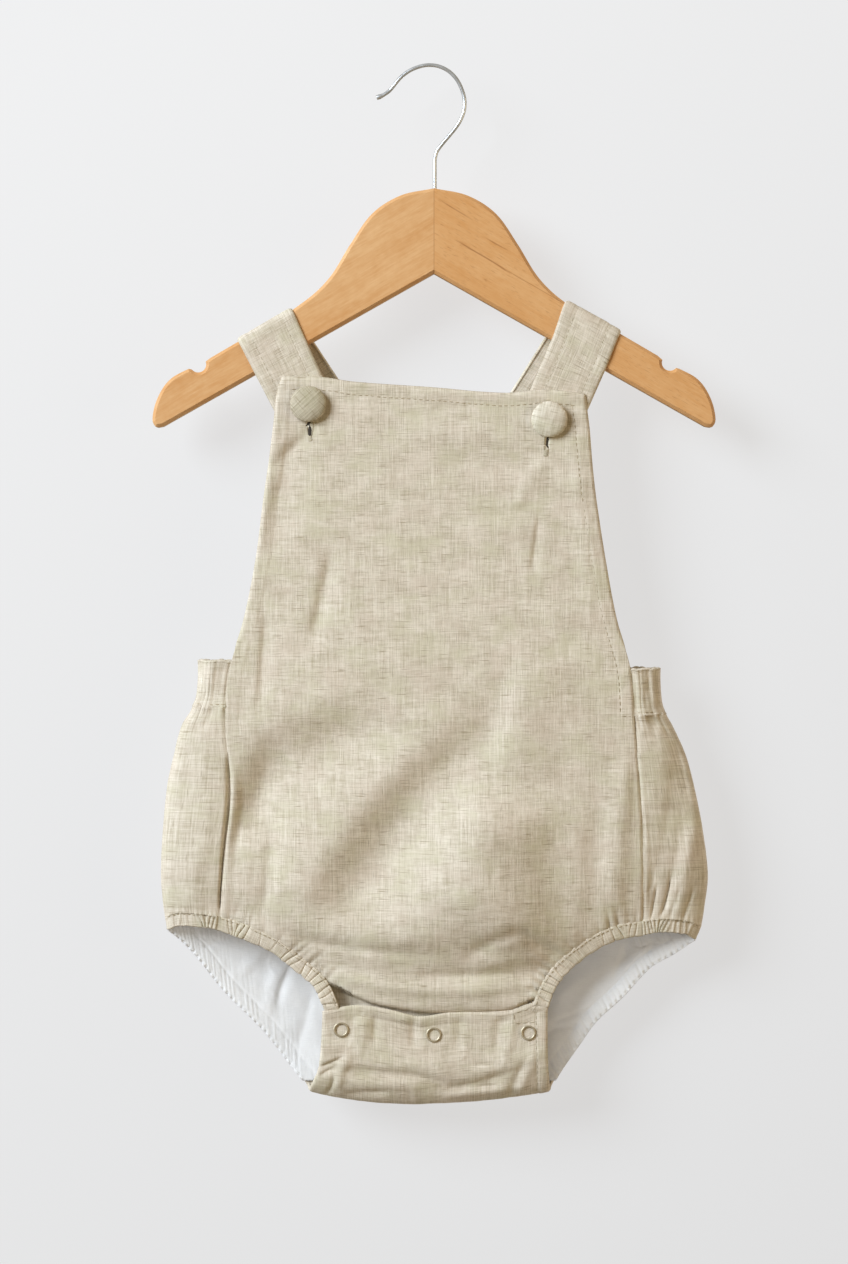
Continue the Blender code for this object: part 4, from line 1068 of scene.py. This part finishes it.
def waistband():
    """A gathered casing: a flattened tube whose edges ripple."""
    shares = np.concatenate([[0.0, 0.012, 0.04], np.linspace(0.10, 0.90, 21), [0.95, 0.98, 1.0]])[:, None]
    z = waist_z() - WAIST_WIDTH * shares
    grid = stacked(*round_grid(z), z)
    s = line_lengths(grid[0])
    crease = waist_puckers(grid[0], np.full_like(shares, 0.85))
    puff = np.sqrt(np.clip(1 - np.abs(2 * shares - 1) ** 6, 0, 1)) - 0.2
    amount = puff - 0.3 * peak(shares - 0.90, 0.03) + 0.45 * noise(s / 4, shares * 3, 52)
    amount -= crease * (0.55 + 0.45 * np.sin(math.pi * shares))
    grid -= normals_of(grid) * (amount * hip_calm(z.shape[1]))[:, :, None]
    ripple = 0.5 * wander(s / 3.5, 53) - 0.7 * crease
    grid[:, :, 2] += ripple * (ease(1 - shares / 0.3) - 0.4 * ease((shares - 0.7) / 0.3))
    piece = cloth("romper_waistband", grid, 1.5, "back_waistband", stacked(s, z))


# ---- leg casings ------------------------------------------
def casing(part, side, outer, inner, y_of, places, calm):
    """A flat tape-like casing, sewn down along its inner edge and pinched by its elastic."""
    shares = np.array([0.0, 0.05, 0.13, 0.25, 0.38, 0.5, 0.62, 0.75, 0.87, 0.95, 1.0])[:, None]
    x, z = (blend(inner[:, k], outer[:, k], shares) for k in (0, 1))
    grid = stacked(x, y_of(x, z), z)
    out = normals_of(grid)
    if part == "front":
        out *= np.where(out[..., 1] < 0, 1.0, -1.0)[:, :, None]
    elif side == "left":
        out = -out
    s = line_lengths(inner)
    dent = puckers(s + 2.2 * wander(s / 6, 67) * (2 * shares - 1), places, 0.5)
    puff = np.sqrt(np.clip(1 - np.abs(2 * shares - 1) ** 5, 0, 1))
    amount = 0.35 * puff - 0.05 + 0.14 * noise(s / 2.6, shares * 3, 65) - dent * (0.50 + 0.45 * puff)
    grid += out * (amount * calm)[:, :, None]
    # The free edge ripples.
    way = (outer - inner) / np.linalg.norm(outer - inner, axis=1, keepdims=True)
    move = (0.30 * wander(s / 3.2, 66) - 0.45 * dent[-1:]) * shares**2 * calm
    grid[:, :, ::2] += way * move[:, :, None]
    return cloth(f"romper_leg_{part}_{side}", grid, 1.3, f"leg_casing_{part}_{side}")


def leg_casings():
    width = CASING_WIDTH + 0.5
    hip_steps = 110
    for side in LEGS:
        outer, inner = (leg_line(side, "front", 300, inset) for inset in (0, width))
        s = line_lengths(inner)
        calm = 0.1 + 0.9 * ease((s[-1] - s) / 16)
        piece = casing("front", side, outer, inner, front_y, LEG_PUCKERS[side]["front"], calm)
        outer, inner = (
            np.concatenate([side_line(side, hip_steps, inset)[:-1], leg_line(side, "back", 330, inset)])
            for inset in (0, width)
        )
        s = line_lengths(inner)
        hip = s[hip_steps]

        def y_of(x, z, side=side):
            return np.where(np.arange(x.shape[1]) < hip_steps, side_y(x, z, side), back_y(x, z))

        behind = leg_elastic(s[-1] - hip)
        places = [*LEG_PUCKERS[side]["side"], *((hip + place, strength) for place, strength in behind)]
        calm = (0.25 + 0.75 * ease(np.abs(s - hip) / 5)) * (0.1 + 0.9 * ease((s[-1] - s) / 8))
        piece = casing("back", side, outer, inner, y_of, places, calm)


# ---- crotch flap ------------------------------------------
FLAP_FOLDS = (
    # x1, z1, x2, z2, bow, height, width left, width right
    # Upright folds under the hem.
    (-47, -520, -42, -504, 0, -0.7, 3, 2),
    (-39, -524, -37, -505, 0, 0.7, 3, 3),
    (-32, -520, -31, -504, 0, -0.7, 2, 3),
    (-11, -522, -11, -507, 0, -0.8, 2.5, 2),
    (12, -524, 14, -506, 0, -0.6, 3, 3),
    (33, -524, 36, -506, 0, -0.6, 3, 3),
    (38, -530, 43, -505, 0, 0.6, 3, 3),
    # The long soft folds across the middle and just above the fold.
    (-52, -533, 10, -531, 2, 0.8, 4, 4),
    (-50, -535, 8, -543, -2, -1.1, 3, 3.5),
    (-48, -541, -6, -543, 1, 0.9, 3, 3),
    (-46, -548, -26, -547, 0, -0.7, 1.8, 2),
    (-8, -538, 52, -528, 2, 0.7, 4, 5),
    (4, -546, 40, -537, 1, -0.8, 2.5, 3),
    (10, -549, 44, -545, 0, 0.7, 2, 2),
    (20, -533, 34, -532, 0, -0.5, 1.4, 2),
    (24, -545, 34, -544, 0, -0.5, 1.2, 1.4),
    (40, -549, 48, -532, 0, -0.8, 2.5, 2.5),
    (46, -545, 54, -527, 0, 0.7, 3, 3),
    # Short creases in the lower left corner.
    (-62, -534.5, -49, -529, 0, -1.1, 1, 1.6),
    (-63, -539.5, -52, -533.5, 0, -0.9, 1.2, 1.6),
    (-52, -544, -46, -528, 0, 0.8, 2.5, 2.5),
    (-57, -548, -53, -539, 1, -0.9, 1.6, 1.4),
)


def flap_fold_z(x):
    low_x, low_z = FLAP_LOWEST
    reach = np.where(x < low_x, low_x - FLAP_ROWS[FLAP_TURN][3], FLAP_ROWS[FLAP_TURN][4] - low_x)
    return low_z + FLAP_RISE * ((x - low_x) / reach) ** 2


def crotch_flap():
    columns, width = 150, 121.0
    across = np.arange(columns + 1) / columns
    base = []
    for face, share, y, left, right in FLAP_ROWS:
        x = blend(left, right, across)
        top = height_at(FLAP_TOP, x) if face == "front" else CROTCH_Z + 1.0
        if share < 0.1 and face == "front":
            y = y - 0.9 * peak(x + 16, 16)
        base.append(stacked(x, y, blend(top, flap_fold_z(x), share)))
    base = np.array(base)
    lengths = line_lengths(base[:, columns // 2])
    down = np.linspace(0, lengths[-1], 118)
    grid = np.stack([sample(base[:, i], lengths, down, read) for i in range(columns + 1)], axis=1)
    x, z = grid[..., 0], grid[..., 2]
    down = down[:, None]
    front = 1 - ease((down - lengths[FLAP_TURN] + 3) / 6)
    out = -normals_of(grid)
    out *= np.where(out[len(out) // 4, :, 1].mean() < 0, 1.0, -1.0)
    free = 0.3 + 0.7 * ease(np.minimum(x + 63, 61 - x) / 5)
    hem_z = -504.5
    share = (z - hem_z) / (flap_fold_z(x) - hem_z)
    folds = 2.4 * np.tanh(fold_height(FLAP_FOLDS, x, z) / 1.9) * free * ease(share / 0.12)
    amount = folds * front + crumple(x, down, 81, 7)
    # The band down the right side, and the edges.
    right_gap = (1 - across) * width
    amount += 0.22 * ease(1 - (right_gap - 4.6) / 1.4) - 0.35 * peak(right_gap - 5.6, 0.7) * front
    amount -= 0.8 * rolled(np.minimum(across * width, right_gap), 1.3) + 0.8 * rolled(down, 1.3)
    for snap_x, snap_z in SNAPS.values():
        near = peak(np.hypot(x - snap_x, z - snap_z), 6.5, 4) * front
        amount = amount * (1 - near) - 0.25 * near
    grid += out * amount[:, :, None]
    piece = cloth("romper_flap", grid, 1.5, "crotch_flap", stacked(grid[..., 0], -down))


# ---- lining -----------------------------------------------
LINING_TOP = -416.0
LINING_FOLDS = (
    # x1, z1, x2, z2, bow, height, width left, width right
    (-84, -502, -76, -480, -1, -1.1, 2, 2.6),
    (-104, -486, -88, -470, 0, 0.6, 4, 3),
    (-92, -506, -84, -482, 0, 0.5, 3, 4),
    (-72, -524, -66, -498, 0, -0.7, 3, 2.5),
    (-128, -474, -112, -466, 0, -0.5, 2, 2),
    (58, -518, 80, -514, -2, -1.2, 1.3, 2.2),
    (60, -514, 84, -505, -1, -0.7, 1.2, 1.6),
    (58, -523, 74, -522, 0, 0.6, 3, 3),
    (66, -500, 92, -482, -2, 0.6, 4, 3),
    (96, -490, 104, -470, 0, -0.6, 2, 3),
    (112, -480, 118, -468, 0, -0.5, 1.6, 2),
)


def back_lining():
    """The white lining inside the lower back, gathered into the edges of the leg openings."""
    columns, rows = 400, 84
    left, right = (leg_line(side, "back", 120, -0.5) for side in LEGS)
    bottom = even_line(np.concatenate([left, right[::-1]]), columns)
    share = np.arange(columns + 1) / columns
    down = (np.arange(rows + 1) / rows)[:, None] ** 0.8
    z = blend(LINING_TOP, bottom[:, 1], down)
    left_x, right_x = row_at(SIDES, z, 1) + 5.0 * (1 - down), row_at(SIDES, z, 2) - 5.0 * (1 - down)
    x = blend(blend(left_x, right_x, share), bottom[:, 0], down**2)
    y = back_y(x, z) + fold_height(BACK_FOLDS, x, z) * (1 - ease((down - 0.6) / 0.4))
    s = line_lengths(bottom)
    gap = leg_distance(x, z, "back")
    up = z - z[-1:]
    # A gathered band along the edge, and wider puckers above it.
    fine = puckers(s + 0.45 * up, even_puckers(s[-1] + 60, 2.5, 91), 0.55 + 0.02 * up)
    wide = puckers(s + 0.10 * up, even_puckers(s[-1] + 10, 13.0, 92), 1.6 + 0.11 * up)
    band = (1 - ease((gap - 6.4) / 1.6)) * ease((gap + 0.4) / 1.5)
    above = ease((gap - 6) / 3) * peak(up, 60)
    relief = (0.35 - 0.55 * fine) * band + (0.3 - 0.22 * wide + 0.22 * fine * peak(gap - 8, 9)) * above
    y -= relief * ease((np.abs(x) - 52) / 12)
    # The lining lies in front of the back panel, and closest to it at the edge.
    y -= blend(3.4, 2.2, ease((24 - gap) / 16)) - 1.6 * ease((1.6 - gap) / 2.2)
    y += 0.35 * peak(gap - 7.2, 0.7) - crumple(x, z, 93) - 0.4 * noise(x / 13, z / 9, 94)
    y -= fold_height(LINING_FOLDS, x, z) * ease((gap - 3) / 6)
    piece = cloth("romper_lining", stacked(x, y, z), 0.6, "back_lining", material=cotton)
    return piece


# ---- straps -----------------------------------------------
def arm_top_z(x):
    shoulder_x, shoulder_z = SHOULDER[-1]
    return float(height_at(SHOULDER, x)) if x < shoulder_x else shoulder_z - ARM_SLOPE * (x - shoulder_x)


def strap_ends(side):
    """The strap's outer and inner edge, from the bib over the board and down the back."""
    table = STRAPS[side]
    lean = -ARM_SLOPE if side == "left" else ARM_SLOPE
    up = np.array([lean, 0.0, 1.0]) / math.hypot(ARM_SLOPE, 1.0)
    edges = [np.array([x, 0.0, arm_top_z(abs(x)) + rise]) for x, rise in zip(table["over"], table["lift"])]
    over = []
    for turn in np.radians([0, 30, 60, 90, 90, 60, 30, 0]):
        face = -1 if len(over) < 4 else 1
        y = face * (WOOD_THICK / 2 - WOOD_ROUND + (WOOD_ROUND + STRAP_LIFT) * math.cos(turn))
        rise = -WOOD_ROUND + (WOOD_ROUND + STRAP_LIFT) * math.sin(turn)
        over.append([edge + up * rise + (0.0, y, 0.0) for edge in edges])
    front, back = (
        [[(xo, y, zo), (xi, y, zi)] for xo, zo, xi, zi, y in table[part]] for part in ("front", "back")
    )
    return np.array([*front, *over, *back], float)


def strap(side):
    rows = strap_ends(side)
    lengths = line_lengths(rows.mean(axis=1))
    down = np.linspace(0, lengths[-1], int(lengths[-1] / 1.3))
    ends = np.stack([sample(rows[:, end], lengths, down) for end in (0, 1)], axis=1)
    for _ in range(3):
        ends[1:-1] = (ends[:-2] + 2 * ends[1:-1] + ends[2:]) / 4
    shares = np.concatenate([[0, 0.012, 0.03], np.linspace(0.06, 0.94, 26), [0.97, 0.988, 1.0]])
    grid = blend(ends[:, :1], ends[:, 1:], shares[:, None])
    out = normals_of(grid)
    out *= 1.0 if out[2, 5, 1] < 0 else -1.0
    down = down[:, None]
    across = shares * STRAP_WIDTH
    gap = np.minimum(across, STRAP_WIDTH - across)
    seed, shift = (101, 0) if side == "left" else (102, 70)
    amount = 0.8 * crumple(across, down, seed, 7) + 0.15
    amount -= 0.30 * peak(gap - STRAP_SEAM, 0.8) + 0.9 * rolled(gap, 1.3)
    grid = grid + out * amount[:, :, None]
    piece = cloth(f"romper_strap_{side}", grid, 1.4, f"strap_{side}", stacked(across + shift, down))
    stitches = []
    for place in (STRAP_SEAM, STRAP_WIDTH - STRAP_SEAM):
        j = int(np.abs(across - place).argmin())
        s = line_lengths(grid[:, j])
        starts = np.arange(3.0, s[-1] - 4, 3.2)
        firsts, lasts = (sample(grid[:, j], s, starts + stitch) for stitch in (0, 2.3))
        for start, end, up in zip(firsts, lasts, sample(out[:, j], s, starts)):
            stitches.append(pill(start + up * 0.68, end + up * 0.68, up, 0.22))
    joined(f"stitches_strap_{side}", stitches)


# ---- buttons, buttonholes and snaps -----------------------
def turned(name, profile, steps, place, material, replaces, tilt=(0, 0), rough=None):
    """A profile of (radius, height) turned about an axis towards the front. Its weave lies flat across it."""
    angles = 2 * math.pi * np.arange(steps) / steps
    radius, height = np.array(profile).T[:, :, None]
    points = stacked(radius * np.cos(angles), -height, radius * np.sin(angles)).reshape(-1, 3)
    faces = []
    for a in range(0, len(points) - steps, steps):
        for k in range(steps):
            n = (k + 1) % steps
            faces.append([a + k, a + steps + k, a + steps + n, a + n])
    if rough:
        rough(points)
    flat = points[:, [0, 2]] / 100
    turns = Euler((math.radians(tilt[0]), 0, math.radians(tilt[1]))).to_matrix()
    mesh = mesh_of(name, points @ np.array(turns).T + place, faces, material)
    bm = bmesh.new()
    bm.from_mesh(mesh)
    layer = bm.loops.layers.uv.new("weave")
    for face in bm.faces:
        for loop in face.loops:
            loop[layer].uv = flat[loop.vert.index] + (0.52, 0.64)
    bmesh.ops.remove_doubles(bm, verts=bm.verts, dist=0.000002)
    bmesh.ops.recalc_face_normals(bm, faces=bm.faces)
    bm.to_mesh(mesh)
    bm.free()
    mesh.shade_smooth()
    fitted(name, mesh, replaces)


def buttonhole(side, x, z, lean, rng):
    """Worked edges and a bar at the lower end, round a slit whose dark inside is painted shade."""
    turn = math.tan(math.radians(lean))
    surface = "romper_front"
    made = []
    for down in np.arange(7.5, 16.6, 0.62):
        for way in (-1, 1):
            middle, open_by = x + turn * down, 0.55 + 0.7 * float(ease((17 - down) / 6))
            start, up = laid_on(surface, middle + way * open_by, z - down)
            reach = open_by + 0.9 + rng.uniform(-0.15, 0.2)
            end, end_up = laid_on(surface, middle + way * reach, z - down + rng.uniform(-0.15, 0.15))
            if start is not None and end is not None:
                made.append(pill(start + up * 0.78, end + end_up * 0.72, up, 0.27))
    for k in range(9):
        down = 16.5 + 0.38 * k
        reach = 1.25 + rng.uniform(-0.2, 0.25)
        start, up = laid_on(surface, x + turn * down - reach, z - down)
        end, end_up = laid_on(surface, x + turn * down + reach, z - down + rng.uniform(-0.2, 0.2))
        made.append(pill(start + up * 0.8, end + end_up * 0.8, up, 0.27))
    joined(f"buttonhole_{side}", made)
    # Dark pills just behind the slit are painted shade, standing for the shadowed cloth seen through it.
    depth = float(front_y(np.array(x), np.array(z - 14))) + 0.15
    shade_pills = []
    for down in np.arange(6.0, 16.2, 0.6):
        start = (x + turn * down - 1.1, depth, z - down)
        end = (x + turn * (down + 1.4) + 1.1, depth, z - down - 1.2)
        shade_pills.append(pill(start, end, (0, -1, 0), 0.8, 0.3))
    joined(f"slit_painted_shade_{side}", shade_pills, slit_shade_paint)


def buttons():
    radius = 9.65
    shares = np.sin(np.radians(np.linspace(0, 90, 22)))
    profile = [(radius * r, 1.6 + 3.1 * (1 - r**2.5) ** (1 / 2.2)) for r in shares]
    profile += [(radius * r, height) for r, height in ((0.995, 1.5), (0.97, 1.0), (0.90, 0.5), (0.80, 0.25))]
    profile += [(1.6, 0.1), (1.0, -0.2), (1.0, -4.0), (0.0, -4.0)]
    for number, (side, (x, z, lean, weave_turn, tint, ribs)) in enumerate(BUTTONS.items()):

        def rough(points, number=number):
            """Unevenness of the cover, with small folds round its edge."""
            px, _, pz = points.T.copy()
            angle = np.arctan2(pz, px)
            swell = 0.10 * np.sin(17 * angle + number) + 0.08 * np.sin(29 * angle + 2)
            swell *= ease((np.hypot(px, pz) - 6.0) / 3.6)
            points[:, 0] += swell * np.cos(angle)
            points[:, 1] -= 0.10 * noise(px / 2.5 + 20, pz / 2.5 + 20, 111 + number)
            points[:, 2] += swell * np.sin(angle)

        material = linen_material(f"button_linen_{side}", tint, 1.2, weave_turn, ribs)
        place = (x, float(front_y(np.array(x), np.array(z))) - 1.6, z)
        solid = f"button_{side}"
        turned(f"button_cover_{side}", profile, 72, place, material, solid, (4, -2), rough)
        buttonhole(side, x, z, lean, np.random.default_rng(121 + number))


def snaps():
    ring = [(3.48 + 0.54 * math.cos(a), 0.18 + 0.34 * math.sin(a)) for a in np.radians(np.arange(0, 361, 30))]
    for name, (x, z) in SNAPS.items():
        turned(f"snap_{name}", ring, 48, (x, SNAP_Y, z), snap_metal, f"snap_ring_{name}")


# ---- stitching --------------------------------------------
def sewing():
    hem = [(x, float(height_at(BIB_TOP, x)) - BIB_SEAM) for x in np.linspace(-76, 76, 60)]
    made = seam_on("romper_front", hem, 0.62)
    down = [(float(row_at(FRONT, z, 2)) - 7.0, z) for z in np.linspace(-182, -346, 61)]
    made += seam_on("romper_front", down[:20], 0.62, seed=6)
    made += seam_on("romper_front", down[44:], 0.62, seed=7)
    joined("stitches_bib_side", seam_on("romper_front", down[20:45], 0.55, seed=6))
    made += seam_on("romper_front", [(100.0, -347.2), (106.6, -347.2)], 0.66, seed=8)
    joined("stitches_bib", made, brown_thread)
    made = []
    inset = CASING_WIDTH - 0.7
    for side in LEGS:
        for part, line, facing, seed in (
            ("front", leg_line(side, "front", 60, inset)[:50], -1, 9),
            ("back", side_line(side, 30, inset)[:28], -1, 10),
            ("back", leg_line(side, "back", 60, inset)[2:58], 1, 11),
        ):
            made += seam_on(f"romper_leg_{part}_{side}", line, 0.70, 1.7, 0.26, facing, seed)
    joined("stitches_legs", made, brown_thread)
    made = []
    for line, facing, seed in (
        ([(-126, -341), (-110, -341)], -1, 16),
        ([(106, -345.2), (120, -345)], -1, 16),
        ([(-122, -340.2), (0, -341.2), (117, -344.2)], 1, 17),
    ):
        made += seam_on("romper_waistband", line, 0.78, 1.9, 0.25, facing, seed)
    joined("stitches_waist", made, brown_thread)
    made = seam_on("romper_flap", [(54.6, -503), (55.2, -545)], 0.80, seed=13)
    for start, end in (
        ((43.5, -504.5), (54.5, -502)),
        ((42, -505), (42.6, -510.5)),
        ((42.6, -510.5), (54.5, -510)),
    ):
        made += seam_on("romper_flap", [start, end], 0.80, seed=14)
    joined("stitches_flap", made)


# ---- hanger -----------------------------------------------
def poly_curve(name, points, **settings):
    """A curve through these points in mm, with these settings."""
    curve = bpy.data.curves.new(name, "CURVE")
    for key, value in settings.items():
        setattr(curve, key, value)
    spline = curve.splines.new("POLY")
    spline.points.add(len(points) - 1)
    for point, (x, y, z) in zip(spline.points, points):
        point.co = (x * MM, y * MM, z * MM, 1.0)
    return curve


def board():
    halves = {}
    for side, (arm_lift, notch_lift) in ARM_LIFTS.items():
        centre = np.array([NOTCH_X, arm_top_z(NOTCH_X) + notch_lift])
        turns = np.radians(np.linspace(190, 350, 16)) - math.atan(ARM_SLOPE)
        notch = [centre + NOTCH_RADIUS * np.array([math.cos(a), math.sin(a)]) for a in turns]
        arm = [(x, arm_top_z(x) + arm_lift) for x in (98.0, 110.0, 119.5)]
        halves[side] = [*smooth_line(SHOULDER, 40), *arm, *notch, *smooth_line(TIP, 30)]
    outline = [(x, z, 0) for x, z in halves["right"]] + [(0, APEX_Z, 0)]
    outline += [(-x, z, 0) for x, z in halves["left"][:0:-1]]
    curve = poly_curve(
        "hanger_board", outline, dimensions="2D", fill_mode="BOTH", bevel_resolution=0,
        bevel_depth=WOOD_ROUND * MM, extrude=(WOOD_THICK / 2 - WOOD_ROUND) * MM, offset=-WOOD_ROUND * MM,
    )
    curve.splines[0].use_cyclic_u = True
    helper = bpy.data.objects.new("hanger_helper", curve)
    pieces.objects.link(helper)
    bpy.context.view_layer.update()
    mesh = bpy.data.meshes.new_from_object(helper.evaluated_get(bpy.context.evaluated_depsgraph_get()))
    bpy.data.objects.remove(helper)
    bm = bmesh.new()
    bm.from_mesh(mesh)
    bmesh.ops.remove_doubles(bm, verts=bm.verts, dist=0.000001)
    for vertex in bm.verts:
        vertex.co = (vertex.co.x, -vertex.co.z, vertex.co.y)
    bmesh.ops.recalc_face_normals(bm, faces=bm.faces)
    for face in bm.faces:
        face.smooth = abs(face.normal.y) < 0.9999
    bm.to_mesh(mesh)
    bm.free()
    mesh.set_sharp_from_angle(angle=math.radians(24))
    mesh.materials.clear()
    mesh.materials.append(wood)
    fitted("hanger_board", mesh, "hanger_wood")


def hook():
    route = [(0.4, -79.0), (0.4, -66.0), (0.4, -57.0), *smooth_line(HOOK, 110)]
    curve = poly_curve(
        "hook_wire", [(x, 0, z) for x, z in route], dimensions="3D", bevel_depth=1.0 * MM, bevel_resolution=5,
        use_fill_caps=True,
    )
    # The tip is a small bead.
    for left, point in enumerate(list(curve.splines[0].points)[::-1]):
        point.radius = 1.0 + 0.35 * peak(left - 1.5, 1.8)
    curve.materials.append(chrome)
    fitted("hook_wire", curve, "hanger_hook")


# ---- build ------------------------------------------------
waistband()
front_panel()
back_panel()
leg_casings()
crotch_flap()
lining = back_lining()
for strap_side in STRAPS:
    strap(strap_side)
buttons()
snaps()
sewing()
board()
hook()
for stud in SNAPS:
    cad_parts[f"snap_stud_{stud}"].data.materials[0] = snap_metal


# ---- setting, in metres -----------------------------------
PICTURE_HEIGHT = 0.67624  # of what the camera sees, at the romper's distance
DISTANCE = 2.5
SENSOR = 36
WALL_Y = 0.0275
FLOOR_Z = -1.2

scene = bpy.context.scene
scene.view_settings.view_transform = "Standard"
camera = bpy.data.objects.new("camera", bpy.data.cameras.new("camera"))
camera.location = (-0.00535, -DISTANCE, -0.3023)
camera.rotation_euler = (math.pi / 2, 0, 0)
camera.data.sensor_width = SENSOR
camera.data.lens = SENSOR * DISTANCE / PICTURE_HEIGHT
camera.data.clip_end = 50
scene.collection.objects.link(camera)
scene.camera = camera

scene.world = bpy.data.worlds.new("studio")
scene.world.use_nodes = True
fill(scene.world.node_tree.nodes["Background"], {0: (1.0, 0.80, 0.48, 1), 1: 0.22})


def area_light(name, place, target, size, power, colour, shape="DISK"):
    light = bpy.data.lights.new(name, "AREA")
    light.shape = shape
    light.size = size
    light.energy = power
    light.color = colour
    thing = bpy.data.objects.new(name, light)
    thing.location = place
    thing.rotation_euler = (Vector(target) - Vector(place)).to_track_quat("-Z", "Y").to_euler()
    scene.collection.objects.link(thing)
    return thing


area_light("key", (-3.0, -2.6, 1.45), (0, 0, -0.35), 2.5, 264, (0.82, 0.91, 1.0))
area_light("fill", (3.0, -1.5, -0.2), (0, 0, -0.4), 2.4, 26, (1.0, 0.82, 0.56))
# Light thrown back by the studio's floor and walls into the leg openings. It falls on the lining alone.
bounce = area_light("bounce", (-0.5, -2.2, -1.2), (0, 0, -0.5), 1.2, 19, (0.97, 0.98, 1.0), "SQUARE")
lit = bpy.data.collections.new("lit_by_bounce")
lit.objects.link(lining)
bounce.light_linking.receiver_collection = lit
bounce.light_linking.blocker_collection = lit


def stage_plane(name, corners):
    """A pale sheet of paper that shows from its front only and takes a faint soft shadow.

    The light that the studio's walls throw back onto it is its own glow, which fades to the lower right.
    """
    material, tree = new_material(name)
    shaded(material, {"Base Color": srgb(238, 238, 239), "Roughness": 1.0, "Specular IOR Level": 0.0})
    place = node(tree, "TexCoord", output="Object")
    x, z = (node(tree, "SeparateXYZ", {0: place}, axis) for axis in (0, 2))
    strength = ramp(x * 0.10 + z * -0.18, -0.02, 0.14, 0.99, 0.86)
    glow = node(tree, "Emission", {0: srgb(240, 240, 241), 1: strength})
    matt = Value(tree, tree.nodes["Principled BSDF"].outputs[0])
    paper = node(tree, "MixShader", {0: 0.18, 1: glow, 2: matt})
    behind = node(tree, "NewGeometry", output="Backfacing")
    both = node(tree, "MixShader", {0: behind, 1: paper, 2: node(tree, "BsdfTransparent")})
    fill(tree.nodes["Material Output"], {0: both})
    mesh = bpy.data.meshes.new(name)
    mesh.from_pydata(corners, [], [(0, 1, 2, 3)])
    mesh.materials.append(material)
    thing = bpy.data.objects.new(name, mesh)
    scene.collection.objects.link(thing)
    thing.visible_glossy = thing.visible_shadow = thing.visible_transmission = False
    thing.visible_diffuse = name == "backdrop"


wall_foot = [(-4, WALL_Y, FLOOR_Z), (4, WALL_Y, FLOOR_Z)]
stage_plane("backdrop", [*wall_foot, (4, WALL_Y, 4), (-4, WALL_Y, 4)])
stage_plane("floor", [(-4, -6, FLOOR_Z), (4, -6, FLOOR_Z), *wall_foot[::-1]])
